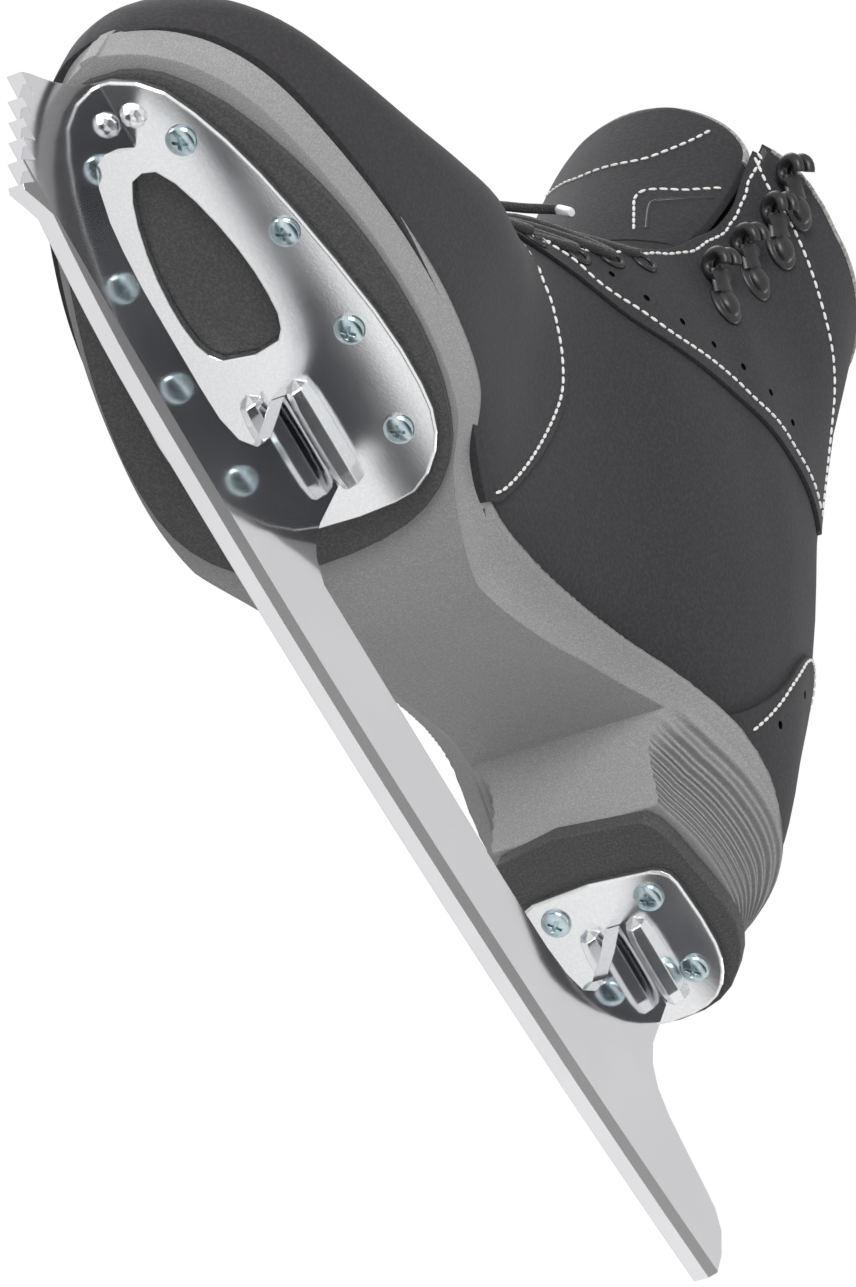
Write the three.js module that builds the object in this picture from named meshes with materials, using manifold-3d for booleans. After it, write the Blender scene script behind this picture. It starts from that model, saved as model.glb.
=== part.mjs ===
import * as THREE from "three";
import { mergeVertices } from "three/addons/utils/BufferGeometryUtils.js";
import Module from "manifold-3d";

const wasm = await Module();
wasm.setup();

// Right boot on a figure blade. Millimetres; +X is the inner side of the foot,
// -Y the toe, +Z up, and the origin is the lowest point of the runner.

const gap = 0.3; // between pieces that rest on each other
const bladeThick = 4;
const rockerRadius = 2130; // long curve of the runner
const spinRadius = 330; // tighter curve under the ball of the foot
const spinStart = -50;
const runnerFront = -101;
const tailEnd = 211;
const bandHeight = 23.5; // top of the steel bar between the stanchions

const solePlateZ = 51.5; // lower face of the front plate
const heelPlateZ = 59;
const plateThick = 2.5;
const plateHalf = 34.2; // half width of the front plate
const plateTip = -109;
const plateRear = 13;
const heelPlateHalf = 22;
const heelPlateFront = 128.5;
const heelPlateRear = 169.5;

const outsoleThick = 4;
const outsoleProud = 2; // how far the rubber stands below the midsole rim
const liftThick = 5;
const layerUpper = 2.3; // microfibre of the upper
const layerStiff = 1.4; // stiffeners between upper and lining
const layerLining = 1.8;
const layerPatch = 1.2; // overlays sewn on the outside
const layerTongue = 4;
const boardThick = 2.4;
const footbedThick = 3.2;

const screwHead = 7.4;
const screwHeadHigh = 1.7;
const screwShank = 3.9;
const screwLong = 13;
const holeClear = 0.35;

const tongueFoldZ = 214; // height of the fold line of the tongue
const collarTop = 264;

const outsoleZ = solePlateZ + plateThick + gap;
const rimZ = outsoleZ + outsoleProud;
const liftZ = heelPlateZ + plateThick + gap;
const heelBaseZ = liftZ + liftThick + gap;
const stiffIn = layerUpper + gap;
const liningIn = stiffIn + layerStiff + gap;
const insideIn = liningIn + layerLining + gap;

const group = new THREE.Group();
const black = { color: 0x2c2b2e, roughness: 0.75 };
const chrome = { color: 0xc9cdd0, metalness: 1, roughness: 0.15 };
const zinc = { color: 0xb4c4cc, metalness: 1, roughness: 0.3 };
const grey = { color: 0x96948f, roughness: 0.7 };
const rubber = { color: 0x3a3a3c, roughness: 0.85 };

function toSolid(geometry) {
  const bare = new THREE.BufferGeometry();
  const source = geometry.index ? geometry.toNonIndexed() : geometry;
  bare.setAttribute("position", source.getAttribute("position"));
  const merged = mergeVertices(bare, 1e-4);
  return new wasm.Manifold(
    new wasm.Mesh({
      numProp: 3,
      vertProperties: new Float32Array(merged.attributes.position.array),
      triVerts: new Uint32Array(merged.index.array),
    }),
  );
}

function toGeometry(solid) {
  const mesh = solid.getMesh();
  const geometry = new THREE.BufferGeometry();
  const spots = new Float32Array(mesh.numVert * 3);
  for (let i = 0; i < mesh.numVert; i += 1) {
    for (let k = 0; k < 3; k += 1) {
      spots[i * 3 + k] = mesh.vertProperties[i * mesh.numProp + k];
    }
  }
  geometry.setAttribute("position", new THREE.BufferAttribute(spots, 3));
  geometry.setIndex(new THREE.BufferAttribute(new Uint32Array(mesh.triVerts), 1));
  geometry.computeVertexNormals();
  return geometry;
}

function add(name, solid, look) {
  const parts = solid.decompose();
  parts.sort((a, b) => b.volume() - a.volume());
  const geometry = toGeometry(parts[0]);
  const mesh = new THREE.Mesh(geometry, new THREE.MeshStandardMaterial(look));
  mesh.name = name;
  group.add(mesh);
}

// Closed rings of equal count joined into one solid, flat ends filled.
function loft(rings) {
  const spots = [];
  const push = (a, b, c) => {
    for (const p of [a, b, c]) {
      spots.push(p.x, p.y, p.z);
    }
  };
  const n = rings[0].length;
  for (let k = 0; k + 1 < rings.length; k += 1) {
    for (let i = 0; i < n; i += 1) {
      const j = (i + 1) % n;
      push(rings[k][i], rings[k][j], rings[k + 1][j]);
      push(rings[k][i], rings[k + 1][j], rings[k + 1][i]);
    }
  }
  const cap = (ring, flip) => {
    const middle = ring
      .reduce((sum, p) => sum.add(p), new THREE.Vector3())
      .divideScalar(n);
    for (let i = 0; i < n; i += 1) {
      const j = (i + 1) % n;
      if (flip) {
        push(middle, ring[j], ring[i]);
      } else {
        push(middle, ring[i], ring[j]);
      }
    }
  };
  cap(rings[0], true);
  cap(rings[rings.length - 1], false);
  const geometry = new THREE.BufferGeometry();
  geometry.setAttribute("position", new THREE.Float32BufferAttribute(spots, 3));
  const solid = toSolid(geometry);
  if (solid.volume() > 0) {
    return solid;
  }
  const index = [];
  for (let i = 0; i < spots.length / 3; i += 3) {
    index.push(i, i + 2, i + 1);
  }
  geometry.setIndex(index);
  return toSolid(geometry);
}

// A side profile of y and z, drawn across x from one value to another.
function sidePrism(outline, from, to) {
  const shape = new THREE.Shape(outline.map((p) => new THREE.Vector2(p[0], p[1])));
  const geometry = new THREE.ExtrudeGeometry(shape, {
    depth: to - from,
    bevelEnabled: false,
  });
  const turn = new THREE.Matrix4().set(0, 0, 1, from, 1, 0, 0, 0, 0, 1, 0, 0, 0, 0, 0, 1);
  return toSolid(geometry.applyMatrix4(turn));
}

// A plan outline of x and y, drawn up from one height to another.
function planPrism(outline, from, to, bevel = 0) {
  const shape = new THREE.Shape(outline.map((p) => new THREE.Vector2(p[0], p[1])));
  const geometry = new THREE.ExtrudeGeometry(shape, {
    depth: to - from - 2 * bevel,
    bevelEnabled: bevel > 0,
    bevelSize: bevel,
    bevelOffset: -bevel,
    bevelThickness: bevel,
    bevelSegments: 1,
  });
  geometry.translate(0, 0, from + bevel);
  return toSolid(geometry);
}

// An outline of x and z, drawn along y.
function frontPrism(outline, from, to) {
  const shape = new THREE.Shape(outline.map((p) => new THREE.Vector2(p[0], p[1])));
  const geometry = new THREE.ExtrudeGeometry(shape, {
    depth: to - from,
    bevelEnabled: false,
  });
  const turn = new THREE.Matrix4().set(1, 0, 0, 0, 0, 0, -1, to, 0, 1, 0, 0, 0, 0, 0, 1);
  return toSolid(geometry.applyMatrix4(turn));
}

function smoothLine(points, count, closed = false) {
  const curve = new THREE.CatmullRomCurve3(
    points.map((p) => new THREE.Vector3(p[0], p[1], 0)),
    closed,
    "centripetal",
  );
  const steps = closed ? count : count - 1;
  return Array.from({ length: count }, (unused, i) => {
    const p = curve.getPoint(i / steps);
    return [p.x, p.y];
  });
}

function rod(x, y, from, to, radius, segments = 8) {
  const geometry = new THREE.CylinderGeometry(radius, radius, to - from, segments);
  geometry.rotateX(Math.PI / 2);
  geometry.translate(x, y, (from + to) / 2);
  return toSolid(geometry);
}

function box(x0, x1, y0, y1, z0, z1) {
  const geometry = new THREE.BoxGeometry(x1 - x0, y1 - y0, z1 - z0);
  geometry.translate((x0 + x1) / 2, (y0 + y1) / 2, (z0 + z1) / 2);
  return toSolid(geometry);
}

function between(stations, y) {
  if (y <= stations[0][0]) {
    return stations[0][1];
  }
  for (let i = 1; i < stations.length; i += 1) {
    const [y1, v1] = stations[i];
    const [y0, v0] = stations[i - 1];
    if (y <= y1) {
      const t = (y - y0) / (y1 - y0);
      return v0 + (v1 - v0) * t * t * (3 - 2 * t);
    }
  }
  return stations[stations.length - 1][1];
}

// Blade: picks, window, bar and the two stanchions, all one plate of steel.

const runner = (y) => {
  const spin = Math.max(0, spinStart - y);
  return (y * y) / (2 * rockerRadius) + (spin * spin) / (2 * spinRadius);
};

const contactHalf = 7; // flat facet at the lowest point
const bladeOutline = [];
for (let i = 0; i < 12; i += 1) {
  const y = runnerFront + ((-contactHalf - runnerFront) * i) / 12;
  bladeOutline.push([y, runner(y)]);
}
bladeOutline.push([-contactHalf, 0], [contactHalf, 0]);
for (let i = 1; i <= 10; i += 1) {
  const y = contactHalf + ((tailEnd - contactHalf) * i) / 10;
  bladeOutline.push([y, runner(y)]);
}
bladeOutline.push([213.2, 15], [212.4, 21], [209.5, 26.5], [205, 29.3], [198, 30.5]);
bladeOutline.push([188, 31.8], [179, 33.2], [172, 35.4], [167.5, 39], [165, 44]);
bladeOutline.push([164.5, heelPlateZ - gap], [140, heelPlateZ - gap]);
bladeOutline.push([141.8, 50], [142.6, 41], [141, 34], [137, 29.2], [130, 26.6], [121, 25.2]);
bladeOutline.push([100, bandHeight + 0.8], [60, bandHeight + 0.3], [13, bandHeight]);
bladeOutline.push([7.5, 26.8], [4.8, 31], [4, 36], [4, solePlateZ - gap]);
bladeOutline.push([-94, solePlateZ - gap], [-108.5, solePlateZ - gap], [-112, 45.3]);
bladeOutline.push([-115, 40.3], [-118.2, 36], [-121.5, 32.2], [-125, 28.6]);
const pickTips = [
  [-127.2, 25.9],
  [-123.6, 20.8],
  [-120.6, 16.5],
  [-117.9, 12.2],
  [-115.2, 7.2],
];
for (const [y, z] of pickTips) {
  bladeOutline.push([y, z], [y + 5.6, z - 0.6]);
}
bladeOutline.push([-111.8, 2.4], [-110.6, 1.5], [-105.5, 4.2]);
const windowOutline = [[-91, solePlateZ + 5]];
windowOutline.push([-91.4, 51], [-95, 44.6], [-97.4, 38], [-97.6, 32], [-94, 28.4]);
windowOutline.push([-87, 25], [-80, 23.4], [-70, 22.2], [-55, 21.8], [-44, 21.6], [-35, 21.9]);
windowOutline.push([-27.5, 24.4], [-22, 29.6], [-20, 37], [-21, 45], [-22.6, solePlateZ + 5]);
const blade = sidePrism(bladeOutline, -bladeThick / 2, bladeThick / 2).subtract(
  sidePrism(windowOutline, -bladeThick, bladeThick),
);
add("blade", blade, chrome);

// Plates, with a pressed hump on each side of the blade.

const plateSide = [
  [4.5, plateTip + 1.2],
  [13.5, -103],
  [20, -92],
  [25.5, -76],
  [plateHalf * 0.88, -55],
  [plateHalf * 0.985, -32],
  [plateHalf, -15],
  [plateHalf * 0.95, -4],
  [plateHalf * 0.82, plateRear - 9],
  [plateHalf * 0.58, plateRear - 2],
  [10, plateRear],
];
const mirrorLoop = (side) => [
  ...side,
  ...side.map(([x, y]) => [-x, y]).reverse(),
];
const plateOutline = smoothLine(mirrorLoop(plateSide), 36, true);
const openingSide = [
  [3, -84],
  [7.6, -75],
  [10.8, -62],
  [11.9, -50],
  [11, -40],
  [7.5, -35],
];
const openingOutline = smoothLine(mirrorLoop(openingSide), 22, true);

const soleScrews = [
  [13, -89],
  [24, -60],
  [25.5, -32.2],
  [23.4, -5],
];
const heelScrews = [
  [12.8, 134.8],
  [13.6, 157],
];

// A long pressed hump beside the blade, hanging below the plate.
function hump(side, y0, y1, plateZ, deep) {
  const half = 3.6;
  const middle = side * (bladeThick / 2 + gap + half + 0.4);
  const rings = [];
  for (let k = 0; k <= 7; k += 1) {
    const t = k / 7;
    const y = y0 + ((y1 - y0) * (1 - Math.cos(Math.PI * t))) / 2;
    const swell = Math.max(0.06, Math.sqrt(Math.max(0, 1 - Math.pow(Math.abs(2 * t - 1), 3))));
    const ring = [];
    for (let i = 0; i < 8; i += 1) {
      const turn = (Math.PI * 2 * i) / 8;
      const down = Math.sin(turn) < 0 ? deep * swell : 0.8;
      ring.push(
        new THREE.Vector3(
          middle + half * swell * Math.cos(turn),
          y,
          plateZ + 0.9 + (down + 0.9) * Math.sin(turn),
        ),
      );
    }
    rings.push(ring);
  }
  return loft(rings);
}

function pressDome(x, y, plateZ, radius, deep) {
  const geometry = new THREE.SphereGeometry(radius, 10, 6);
  geometry.rotateX(Math.PI / 2);
  geometry.scale(1, 1, deep / radius);
  geometry.translate(x, y, plateZ + 0.2);
  return toSolid(geometry);
}

let solePlate = planPrism(plateOutline, solePlateZ, solePlateZ + plateThick, 0.5);
solePlate = solePlate.subtract(
  planPrism(openingOutline, solePlateZ - 1, solePlateZ + plateThick + 1),
);
for (const side of [-1, 1]) {
  solePlate = solePlate.add(hump(side, -25, 5, solePlateZ, 5.5));
  solePlate = solePlate.add(pressDome(side * 5.6, -98.5, solePlateZ, 3.2, 2.6));
  for (const [x, y] of soleScrews) {
    const drill = rod(side * x, y, solePlateZ - 2, solePlateZ + 6, screwShank / 2 + holeClear);
    solePlate = solePlate.subtract(drill);
  }
}
const aboveSolePlate = box(-60, 60, -130, 60, solePlateZ + plateThick, solePlateZ + 20);
const bladeSlot = box(-2.3, 2.3, -130, 60, 20, solePlateZ);
solePlate = solePlate.subtract(aboveSolePlate).subtract(bladeSlot);
add("sole_plate", solePlate, chrome);

const heelPlateSide = [
  [16.5, heelPlateFront],
  [20.5, heelPlateFront + 2.6],
  [heelPlateHalf - 0.4, heelPlateFront + 9],
  [heelPlateHalf, heelPlateFront + 24],
  [heelPlateHalf * 0.9, heelPlateRear - 9],
  [heelPlateHalf * 0.68, heelPlateRear - 3],
  [7, heelPlateRear],
];
const heelPlateOutline = smoothLine(mirrorLoop(heelPlateSide), 28, true);
let heelPlate = planPrism(heelPlateOutline, heelPlateZ, heelPlateZ + plateThick, 0.5);
for (const side of [-1, 1]) {
  heelPlate = heelPlate.add(hump(side, 139, 164.5, heelPlateZ, 5));
  for (const [x, y] of heelScrews) {
    const drill = rod(side * x, y, heelPlateZ - 2, heelPlateZ + 6, screwShank / 2 + holeClear);
    heelPlate = heelPlate.subtract(drill);
  }
}
heelPlate = heelPlate.subtract(box(-60, 60, 100, 190, heelPlateZ + plateThick, heelPlateZ + 20));
heelPlate = heelPlate.subtract(box(-2.3, 2.3, 100, 190, 30, heelPlateZ));
add("heel_plate", heelPlate, chrome);

function screw(plateZ) {
  const top = plateZ - 0.1;
  const profile = [
    [0, top - screwHeadHigh],
    [screwHead * 0.34, top - screwHeadHigh * 0.9],
    [screwHead / 2, top - screwHeadHigh * 0.35],
    [screwHead / 2 - 0.1, top],
    [screwShank / 2, top],
    [screwShank / 2, top + screwLong - 3],
    [0, top + screwLong],
  ];
  const points = profile.map((p) => new THREE.Vector2(p[0], p[1]));
  const geometry = new THREE.LatheGeometry(points, 8).rotateX(Math.PI / 2);
  let solid = toSolid(geometry);
  if (solid.volume() < 0) {
    solid = toSolid(new THREE.LatheGeometry(points.reverse(), 8).rotateX(Math.PI / 2));
  }
  const low = top - screwHeadHigh - 0.4;
  for (const [w, d] of [
    [2.1, 0.45],
    [0.45, 2.1],
  ]) {
    solid = solid.subtract(box(-w, w, -d, d, low, low + 1.5));
  }
  return solid;
}
const soleScrew = screw(solePlateZ);
const heelScrew = screw(heelPlateZ);
const sides = [
  ["inner", 1],
  ["outer", -1],
];
for (const [label, side] of sides) {
  soleScrews.forEach(([x, y], i) => {
    add("sole_screw_" + label + "_" + (i + 1), soleScrew.translate([side * x, y, 0]), zinc);
  });
  heelScrews.forEach(([x, y], i) => {
    add("heel_screw_" + label + "_" + (i + 1), heelScrew.translate([side * x, y, 0]), zinc);
  });
}

// Sole unit. The lasting line is the surface the upper is pulled down on.

const lastingLine = (y) =>
  between(
    [
      [-114, 68],
      [-60, 65],
      [25, 65],
      [50, 69.5],
      [80, 85],
      [106, 94],
      [150, 90],
      [175, 89],
    ],
    y,
  );
const solePlan = [
  [-112.6, 6, 2.5],
  [-108.8, 17.5, 12],
  [-101, 27.5, 20.5],
  [-89, 35, 28.5],
  [-70, 40.5, 37.5],
  [-48, 44, 45],
  [-25, 44.2, 50],
  [-3, 40, 52.3],
  [14, 33, 50.5],
  [30, 28.6, 44.5],
  [50, 30, 37],
  [79, 33, 35],
  [101, 35.6, 36],
  [118, 38, 38],
  [132, 38, 38],
  [146, 34.4, 34.4],
  [156, 29, 29],
  [164.5, 20.5, 20.5],
  [170.5, 9, 9],
];

// Half widths shrink downwards, a little at the ball and more at the heel.
function soleRing(z, extra) {
  const middle = 28;
  const loop = [];
  const turnIn = (y) => {
    const drop = Math.max(0, lastingLine(y) - z);
    const range = between(
      [
        [30, 10],
        [100, 20],
      ],
      y,
    );
    const amount = between(
      [
        [30, 3.6],
        [100, 15],
        [118, 14.5],
        [133, 11],
        [148, 7],
        [170, 3],
      ],
      y,
    );
    const t = Math.min(1, drop / range);
    return amount * (1 - Math.pow(1 - t, 2.6)) + extra;
  };
  for (const [y, inner] of solePlan) {
    const inset = turnIn(y);
    const shift = y < middle ? Math.min(inset, 4) * 0.9 : -Math.min(inset, 4) * 0.2;
    const end = Math.abs(y - middle) > 120 ? shift : 0;
    loop.push([Math.max(3, inner - inset), y + end]);
  }
  for (const [y, unused, outer] of [...solePlan].reverse()) {
    const inset = turnIn(y);
    const shift = y < middle ? Math.min(inset, 4) * 0.9 : -Math.min(inset, 4) * 0.2;
    const end = Math.abs(y - middle) > 120 ? shift : 0;
    loop.push([-Math.max(3, outer - inset), y + end]);
  }
  return smoothLine(loop, 44, true).map((p) => new THREE.Vector3(p[0], p[1], z));
}
const lastingSteps = Array.from({ length: 22 }, (unused, i) => -125 + i * 15);
const belowLasting = (offset, from, to) =>
  sidePrism(
    [
      [-125, 20],
      [190, 20],
      ...[...lastingSteps].reverse().map((y) => [y, lastingLine(y) + offset]),
    ],
    from,
    to,
  );
const aboveLasting = (offset) =>
  sidePrism(
    [
      ...lastingSteps.map((y) => [y, lastingLine(y) + offset]),
      [190, 340],
      [-125, 340],
    ],
    -80,
    80,
  );

const soleLevels = [rimZ - 2, 61, 66, 73, 80, 87, 98];
const underside = [
  [-125, rimZ],
  [18, rimZ],
  ...smoothLine(
    [
      [32, rimZ + 0.6],
      [46, rimZ + 3.2],
      [64, 68],
      [82, 78.5],
      [96, 86],
      [106, 88],
      [110.5, 80],
      [114.5, 74],
      [116.2, heelBaseZ],
    ],
    14,
  ),
  [190, heelBaseZ],
  [190, 130],
  [-125, 130],
];
let midsole = loft(soleLevels.map((z) => soleRing(z, 0)));
midsole = midsole.intersect(sidePrism(underside, -80, 80));
midsole = midsole.intersect(belowLasting(0, -80, 80));

const outsolePlan = [
  [6, -108],
  [15, -104],
  [24.5, -93],
  [32, -77],
  [37, -60],
  [39.4, -42],
  [39.2, -22],
  [36.5, -8],
  [31, 5],
  [22, 14.5],
  [10, 20.2],
  [-6, 22.8],
  [-22, 22.5],
  [-35, 18.5],
  [-42.5, 10.5],
  [-46, 1],
  [-46.4, -14],
  [-43.5, -32],
  [-38.5, -50],
  [-32, -68],
  [-26, -84],
  [-19.5, -97],
  [-9, -107],
];
const outsoleOutline = smoothLine(outsolePlan, 44, true);
const outsoleCentre = [-2, -45];
const growOutline = (outline, centre, by) =>
  outline.map(([x, y]) => {
    const long = Math.hypot(x - centre[0], y - centre[1]);
    const scale = 1 + by / long;
    return [centre[0] + (x - centre[0]) * scale, centre[1] + (y - centre[1]) * scale];
  });
let outsole = planPrism(outsoleOutline, outsoleZ, outsoleZ + outsoleThick);
const pocket = planPrism(
  growOutline(outsoleOutline, outsoleCentre, 0.7),
  outsoleZ - 3,
  outsoleZ + outsoleThick + gap,
);
midsole = midsole.subtract(pocket);

const liftSide = [
  [19.8, 116.4],
  [23.4, 122],
  [26, 134],
  [28, 147],
  [26.6, 155],
  [22.5, 162],
  [16, 168],
  [7, 171.2],
];
let heelLift = planPrism(smoothLine(mirrorLoop(liftSide), 28, true), liftZ, liftZ + liftThick, 0.4);

// Steel shank, let into the top of the midsole under the arch.
const shankHalf = 7;
const shank = belowLasting(-gap, -shankHalf, shankHalf)
  .subtract(belowLasting(-gap - 1.4, -20, 20))
  .intersect(box(-20, 20, 4, 128, 40, 120));
const shankBed = aboveLasting(-2 * gap - 1.4)
  .intersect(box(-shankHalf - gap, shankHalf + gap, 4 - gap, 128 + gap, 40, 120));
midsole = midsole.subtract(shankBed);

for (const [, side] of sides) {
  for (const [x, y] of soleScrews) {
    const drill = rod(side * x, y, 40, solePlateZ + screwLong + 0.6, screwShank / 2 + holeClear);
    outsole = outsole.subtract(drill);
    midsole = midsole.subtract(drill);
  }
  for (const [x, y] of heelScrews) {
    const drill = rod(side * x, y, 50, heelPlateZ + screwLong + 0.6, screwShank / 2 + holeClear);
    heelLift = heelLift.subtract(drill);
    midsole = midsole.subtract(drill);
  }
}
add("outsole", outsole, rubber);
add("heel_lift", heelLift, rubber);
add("midsole", midsole, grey);
add("shank", shank, zinc);

// The boot body: rings that fan from the toe round the ankle to the collar.
// Each row: front or top point y z, rear or sole point y z, inner and outer
// half width, roundness of the top side and of the sole side.

const bodyRows = [
  [-112.5, 77, -112, 66, 5, 4, 2, 2],
  [-109.3, 85.5, -109, 61, 16.5, 12, 2, 3],
  [-102, 93, -103, 59, 26, 20, 2.1, 5],
  [-90.5, 99.5, -92.5, 58, 33.8, 28, 2.1, 7],
  [-74, 106, -77, 58, 39, 35.5, 2.1, 8],
  [-54, 115, -57, 57, 42.6, 43, 2.2, 8],
  [-37, 126, -38, 57, 43.6, 47.6, 2.3, 8],
  [-22, 138.5, -17, 57, 42.2, 50, 2.3, 8],
  [-10, 150, 6, 57, 38, 48.6, 2.3, 8],
  [1, 162, 32, 59, 34, 44, 2.3, 8],
  [10, 174, 58, 68, 33, 39, 2.3, 7],
  [17.5, 185, 84, 80, 34.5, 37.6, 2.3, 6],
  [24, 195.5, 110, 86, 37.6, 38.4, 2.3, 5],
  [29, 206, 142, 83, 39, 39, 2.4, 3.4],
  [32.5, 216, 167, 90, 39.6, 39.6, 2.5, 2.4],
  [35, 225, 169, 112, 39.6, 39.6, 2.6, 2],
  [37, 234, 163.5, 142, 38.4, 38.4, 2.7, 2],
  [38.5, 242.5, 149, 174, 38.2, 38.2, 2.8, 2],
  [39.5, 251, 137.5, 204, 39.8, 39.8, 2.9, 2],
  [40.3, 261, 130, 234, 41.8, 41.8, 3, 2],
  [41, 273, 123.5, 262, 43, 43, 3.1, 2],
  [41.5, 286, 118, 286, 43.4, 43.4, 3.1, 2],
  [42, 304, 115, 310, 43.4, 43.4, 3.1, 2],
];
const ringCount = 18;
function bodyRing(row, inset) {
  const [y0, z0, y1, z1, inner, outer, topRound, soleRound] = row;
  const near = new THREE.Vector2(y0, z0);
  const far = new THREE.Vector2(y1, z1);
  const along = far.clone().sub(near);
  const half = Math.max(1.5, along.length() / 2 - inset);
  const middle = near.clone().add(far).multiplyScalar(0.5);
  along.normalize();
  const ring = [];
  for (let i = 0; i < ringCount; i += 1) {
    const turn = (Math.PI * 2 * (i + 0.5)) / ringCount;
    const c = Math.cos(turn);
    const s = Math.sin(turn);
    const power = c > 0 ? topRound : soleRound;
    const reach = -Math.sign(c) * Math.pow(Math.abs(c), 2 / power) * half;
    const wide = Math.max(1.5, (s > 0 ? inner : outer) - inset);
    const x = Math.sign(s) * Math.pow(Math.abs(s), 2 / power) * wide;
    ring.push(new THREE.Vector3(x, middle.x + along.x * reach, middle.y + along.y * reach));
  }
  return ring;
}
function body(inset) {
  const rings = bodyRows.map((row) => {
    const ring = bodyRing(row, inset);
    const toe = between(
      [
        [-113, 1],
        [-90, 0],
      ],
      row[0],
    );
    return ring.map((p) => new THREE.Vector3(p.x, p.y + toe * inset, p.z));
  });
  return loft(rings);
}

// Collar edge seen from the side: low at the front corner, high at the flank.
const collarEdge = [
  [20, collarTop],
  [46, collarTop],
  [66, collarTop - 1],
  [80, collarTop - 3],
  [104, collarTop - 7],
  [150, collarTop - 10],
];
const underCollar = (drop) =>
  sidePrism(
    [
      [-125, 30],
      [189, 30],
      [189, collarTop - 10 - drop],
      ...smoothLine(collarEdge, 10)
        .reverse()
        .map(([y, z]) => [y, z - drop]),
      [-125, collarTop - drop],
    ],
    -80,
    80,
  );

// Front opening between the facings, wider towards the collar.
const throatZ = 144;
const openingAt = (z) =>
  between(
    [
      [throatZ, 2],
      [throatZ + 7, 10],
      [165, 17],
      [185, 23],
      [200, 27],
      [214, 29.5],
      [238, 33],
      [262, 35],
      [310, 37],
    ],
    z,
  );
function throat(grow, depth) {
  const levels = [throatZ, throatZ + 3, throatZ + 7, 165, 185, 200, 214, 238, 262, 310];
  const side = levels.map((z) => [openingAt(z) + grow, z - (z === throatZ ? grow : 0)]);
  return frontPrism([...side, ...side.map(([x, z]) => [-x, z]).reverse()], -60, depth);
}

const shellSolid = body(0)
  .subtract(body(layerUpper))
  .intersect(aboveLasting(gap))
  .intersect(underCollar(0))
  .subtract(throat(0, 72));

const seamLine = smoothLine(
  [
    [-13, 160],
    [-4, 153],
    [8, 145],
    [17, 137],
    [25, 128.5],
    [31, 117],
    [32.5, 101],
    [30.5, 81],
    [26, 56],
  ],
  14,
);
const ahead = (shift) =>
  sidePrism(
    [
      [-130, 40],
      ...[...seamLine].reverse().map(([y, z]) => [y + shift, z]),
      [-13 + shift, 210],
      [-130, 210],
    ],
    -80,
    80,
  );
const toeSide = ahead(0);
const heelSide = ahead(gap);
add("vamp", shellSolid.intersect(toeSide), black);
const quarters = shellSolid.subtract(heelSide);
add("quarter_inner", quarters.intersect(box(gap / 2, 90, -130, 190, 40, 320)), black);
add("quarter_outer", quarters.intersect(box(-90, -gap / 2, -130, 190, 40, 320)), black);

// Overlays sewn on the outside.
const patchLayer = (thick) => body(-gap - thick).subtract(body(-gap));
const stayLow = smoothLine(
  [
    [-8, 150],
    [4, 155.5],
    [20, 160.5],
    [42, 163],
    [60, 170],
    [80, 178],
    [101, 184],
    [120, 184.5],
  ],
  15,
);
const stayHigh = smoothLine(
  [
    [122.5, 187],
    [117, 203.5],
    [107.5, 221],
    [90, 235.5],
    [68, 246.5],
    [57, 252],
    [50, collarTop - 6],
  ],
  12,
);
const stayProfile = [...stayLow, ...stayHigh, [20, collarTop - 4], [-8, 205]];
const stays = patchLayer(layerPatch)
  .intersect(sidePrism(stayProfile, -80, 80))
  .subtract(throat(0, 72));
add("eyestay_inner", stays.intersect(box(gap / 2, 90, -130, 190, 40, 320)), black);
add("eyestay_outer", stays.intersect(box(-90, -gap / 2, -130, 190, 40, 320)), black);

const counterProfile = [
  ...smoothLine(
    [
      [190, 153],
      [150, 154.5],
      [137, 151],
      [129, 139],
      [125, 120],
      [119, 104],
      [112, 92],
    ],
    12,
  ),
  [112, 60],
  [190, 60],
];
const counterPatch = patchLayer(layerPatch)
  .intersect(sidePrism(counterProfile, -80, 80))
  .intersect(aboveLasting(gap));
add("counter_patch", counterPatch, black);

// Stiffening layer between upper and lining, in four pieces.
const layer = (from, thick) => body(from).subtract(body(from + thick));
const boardTop = gap + boardThick + gap;
const stiffSolid = layer(stiffIn, layerStiff)
  .intersect(aboveLasting(boardTop))
  .intersect(underCollar(3))
  .subtract(throat(1.5, 72));
const ankleZ = 178;
const cells = {
  toe_puff: [[-130, -60, 40, 320]],
  side_stiffener: [[-60 + gap, 96, 40, ankleZ]],
  heel_counter: [[96 + gap, 190, 40, ankleZ]],
  collar_pad: [[-60 + gap, 190, ankleZ + gap, 320]],
};
for (const [name, spans] of Object.entries(cells)) {
  const [y0, y1, z0, z1] = spans[0];
  add(name, stiffSolid.intersect(box(-80, 80, y0, y1, z0, z1)), grey);
}
const lining = layer(liningIn, layerLining)
  .intersect(aboveLasting(boardTop))
  .intersect(underCollar(1.2))
  .subtract(throat(1, 72));
add("lining", lining, black);

const board = body(stiffIn)
  .intersect(aboveLasting(gap))
  .subtract(aboveLasting(gap + boardThick));
add("insole_board", board, grey);
const footbed = body(insideIn)
  .intersect(aboveLasting(boardTop))
  .subtract(aboveLasting(boardTop + footbedThick));
add("footbed", footbed, rubber);

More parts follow.
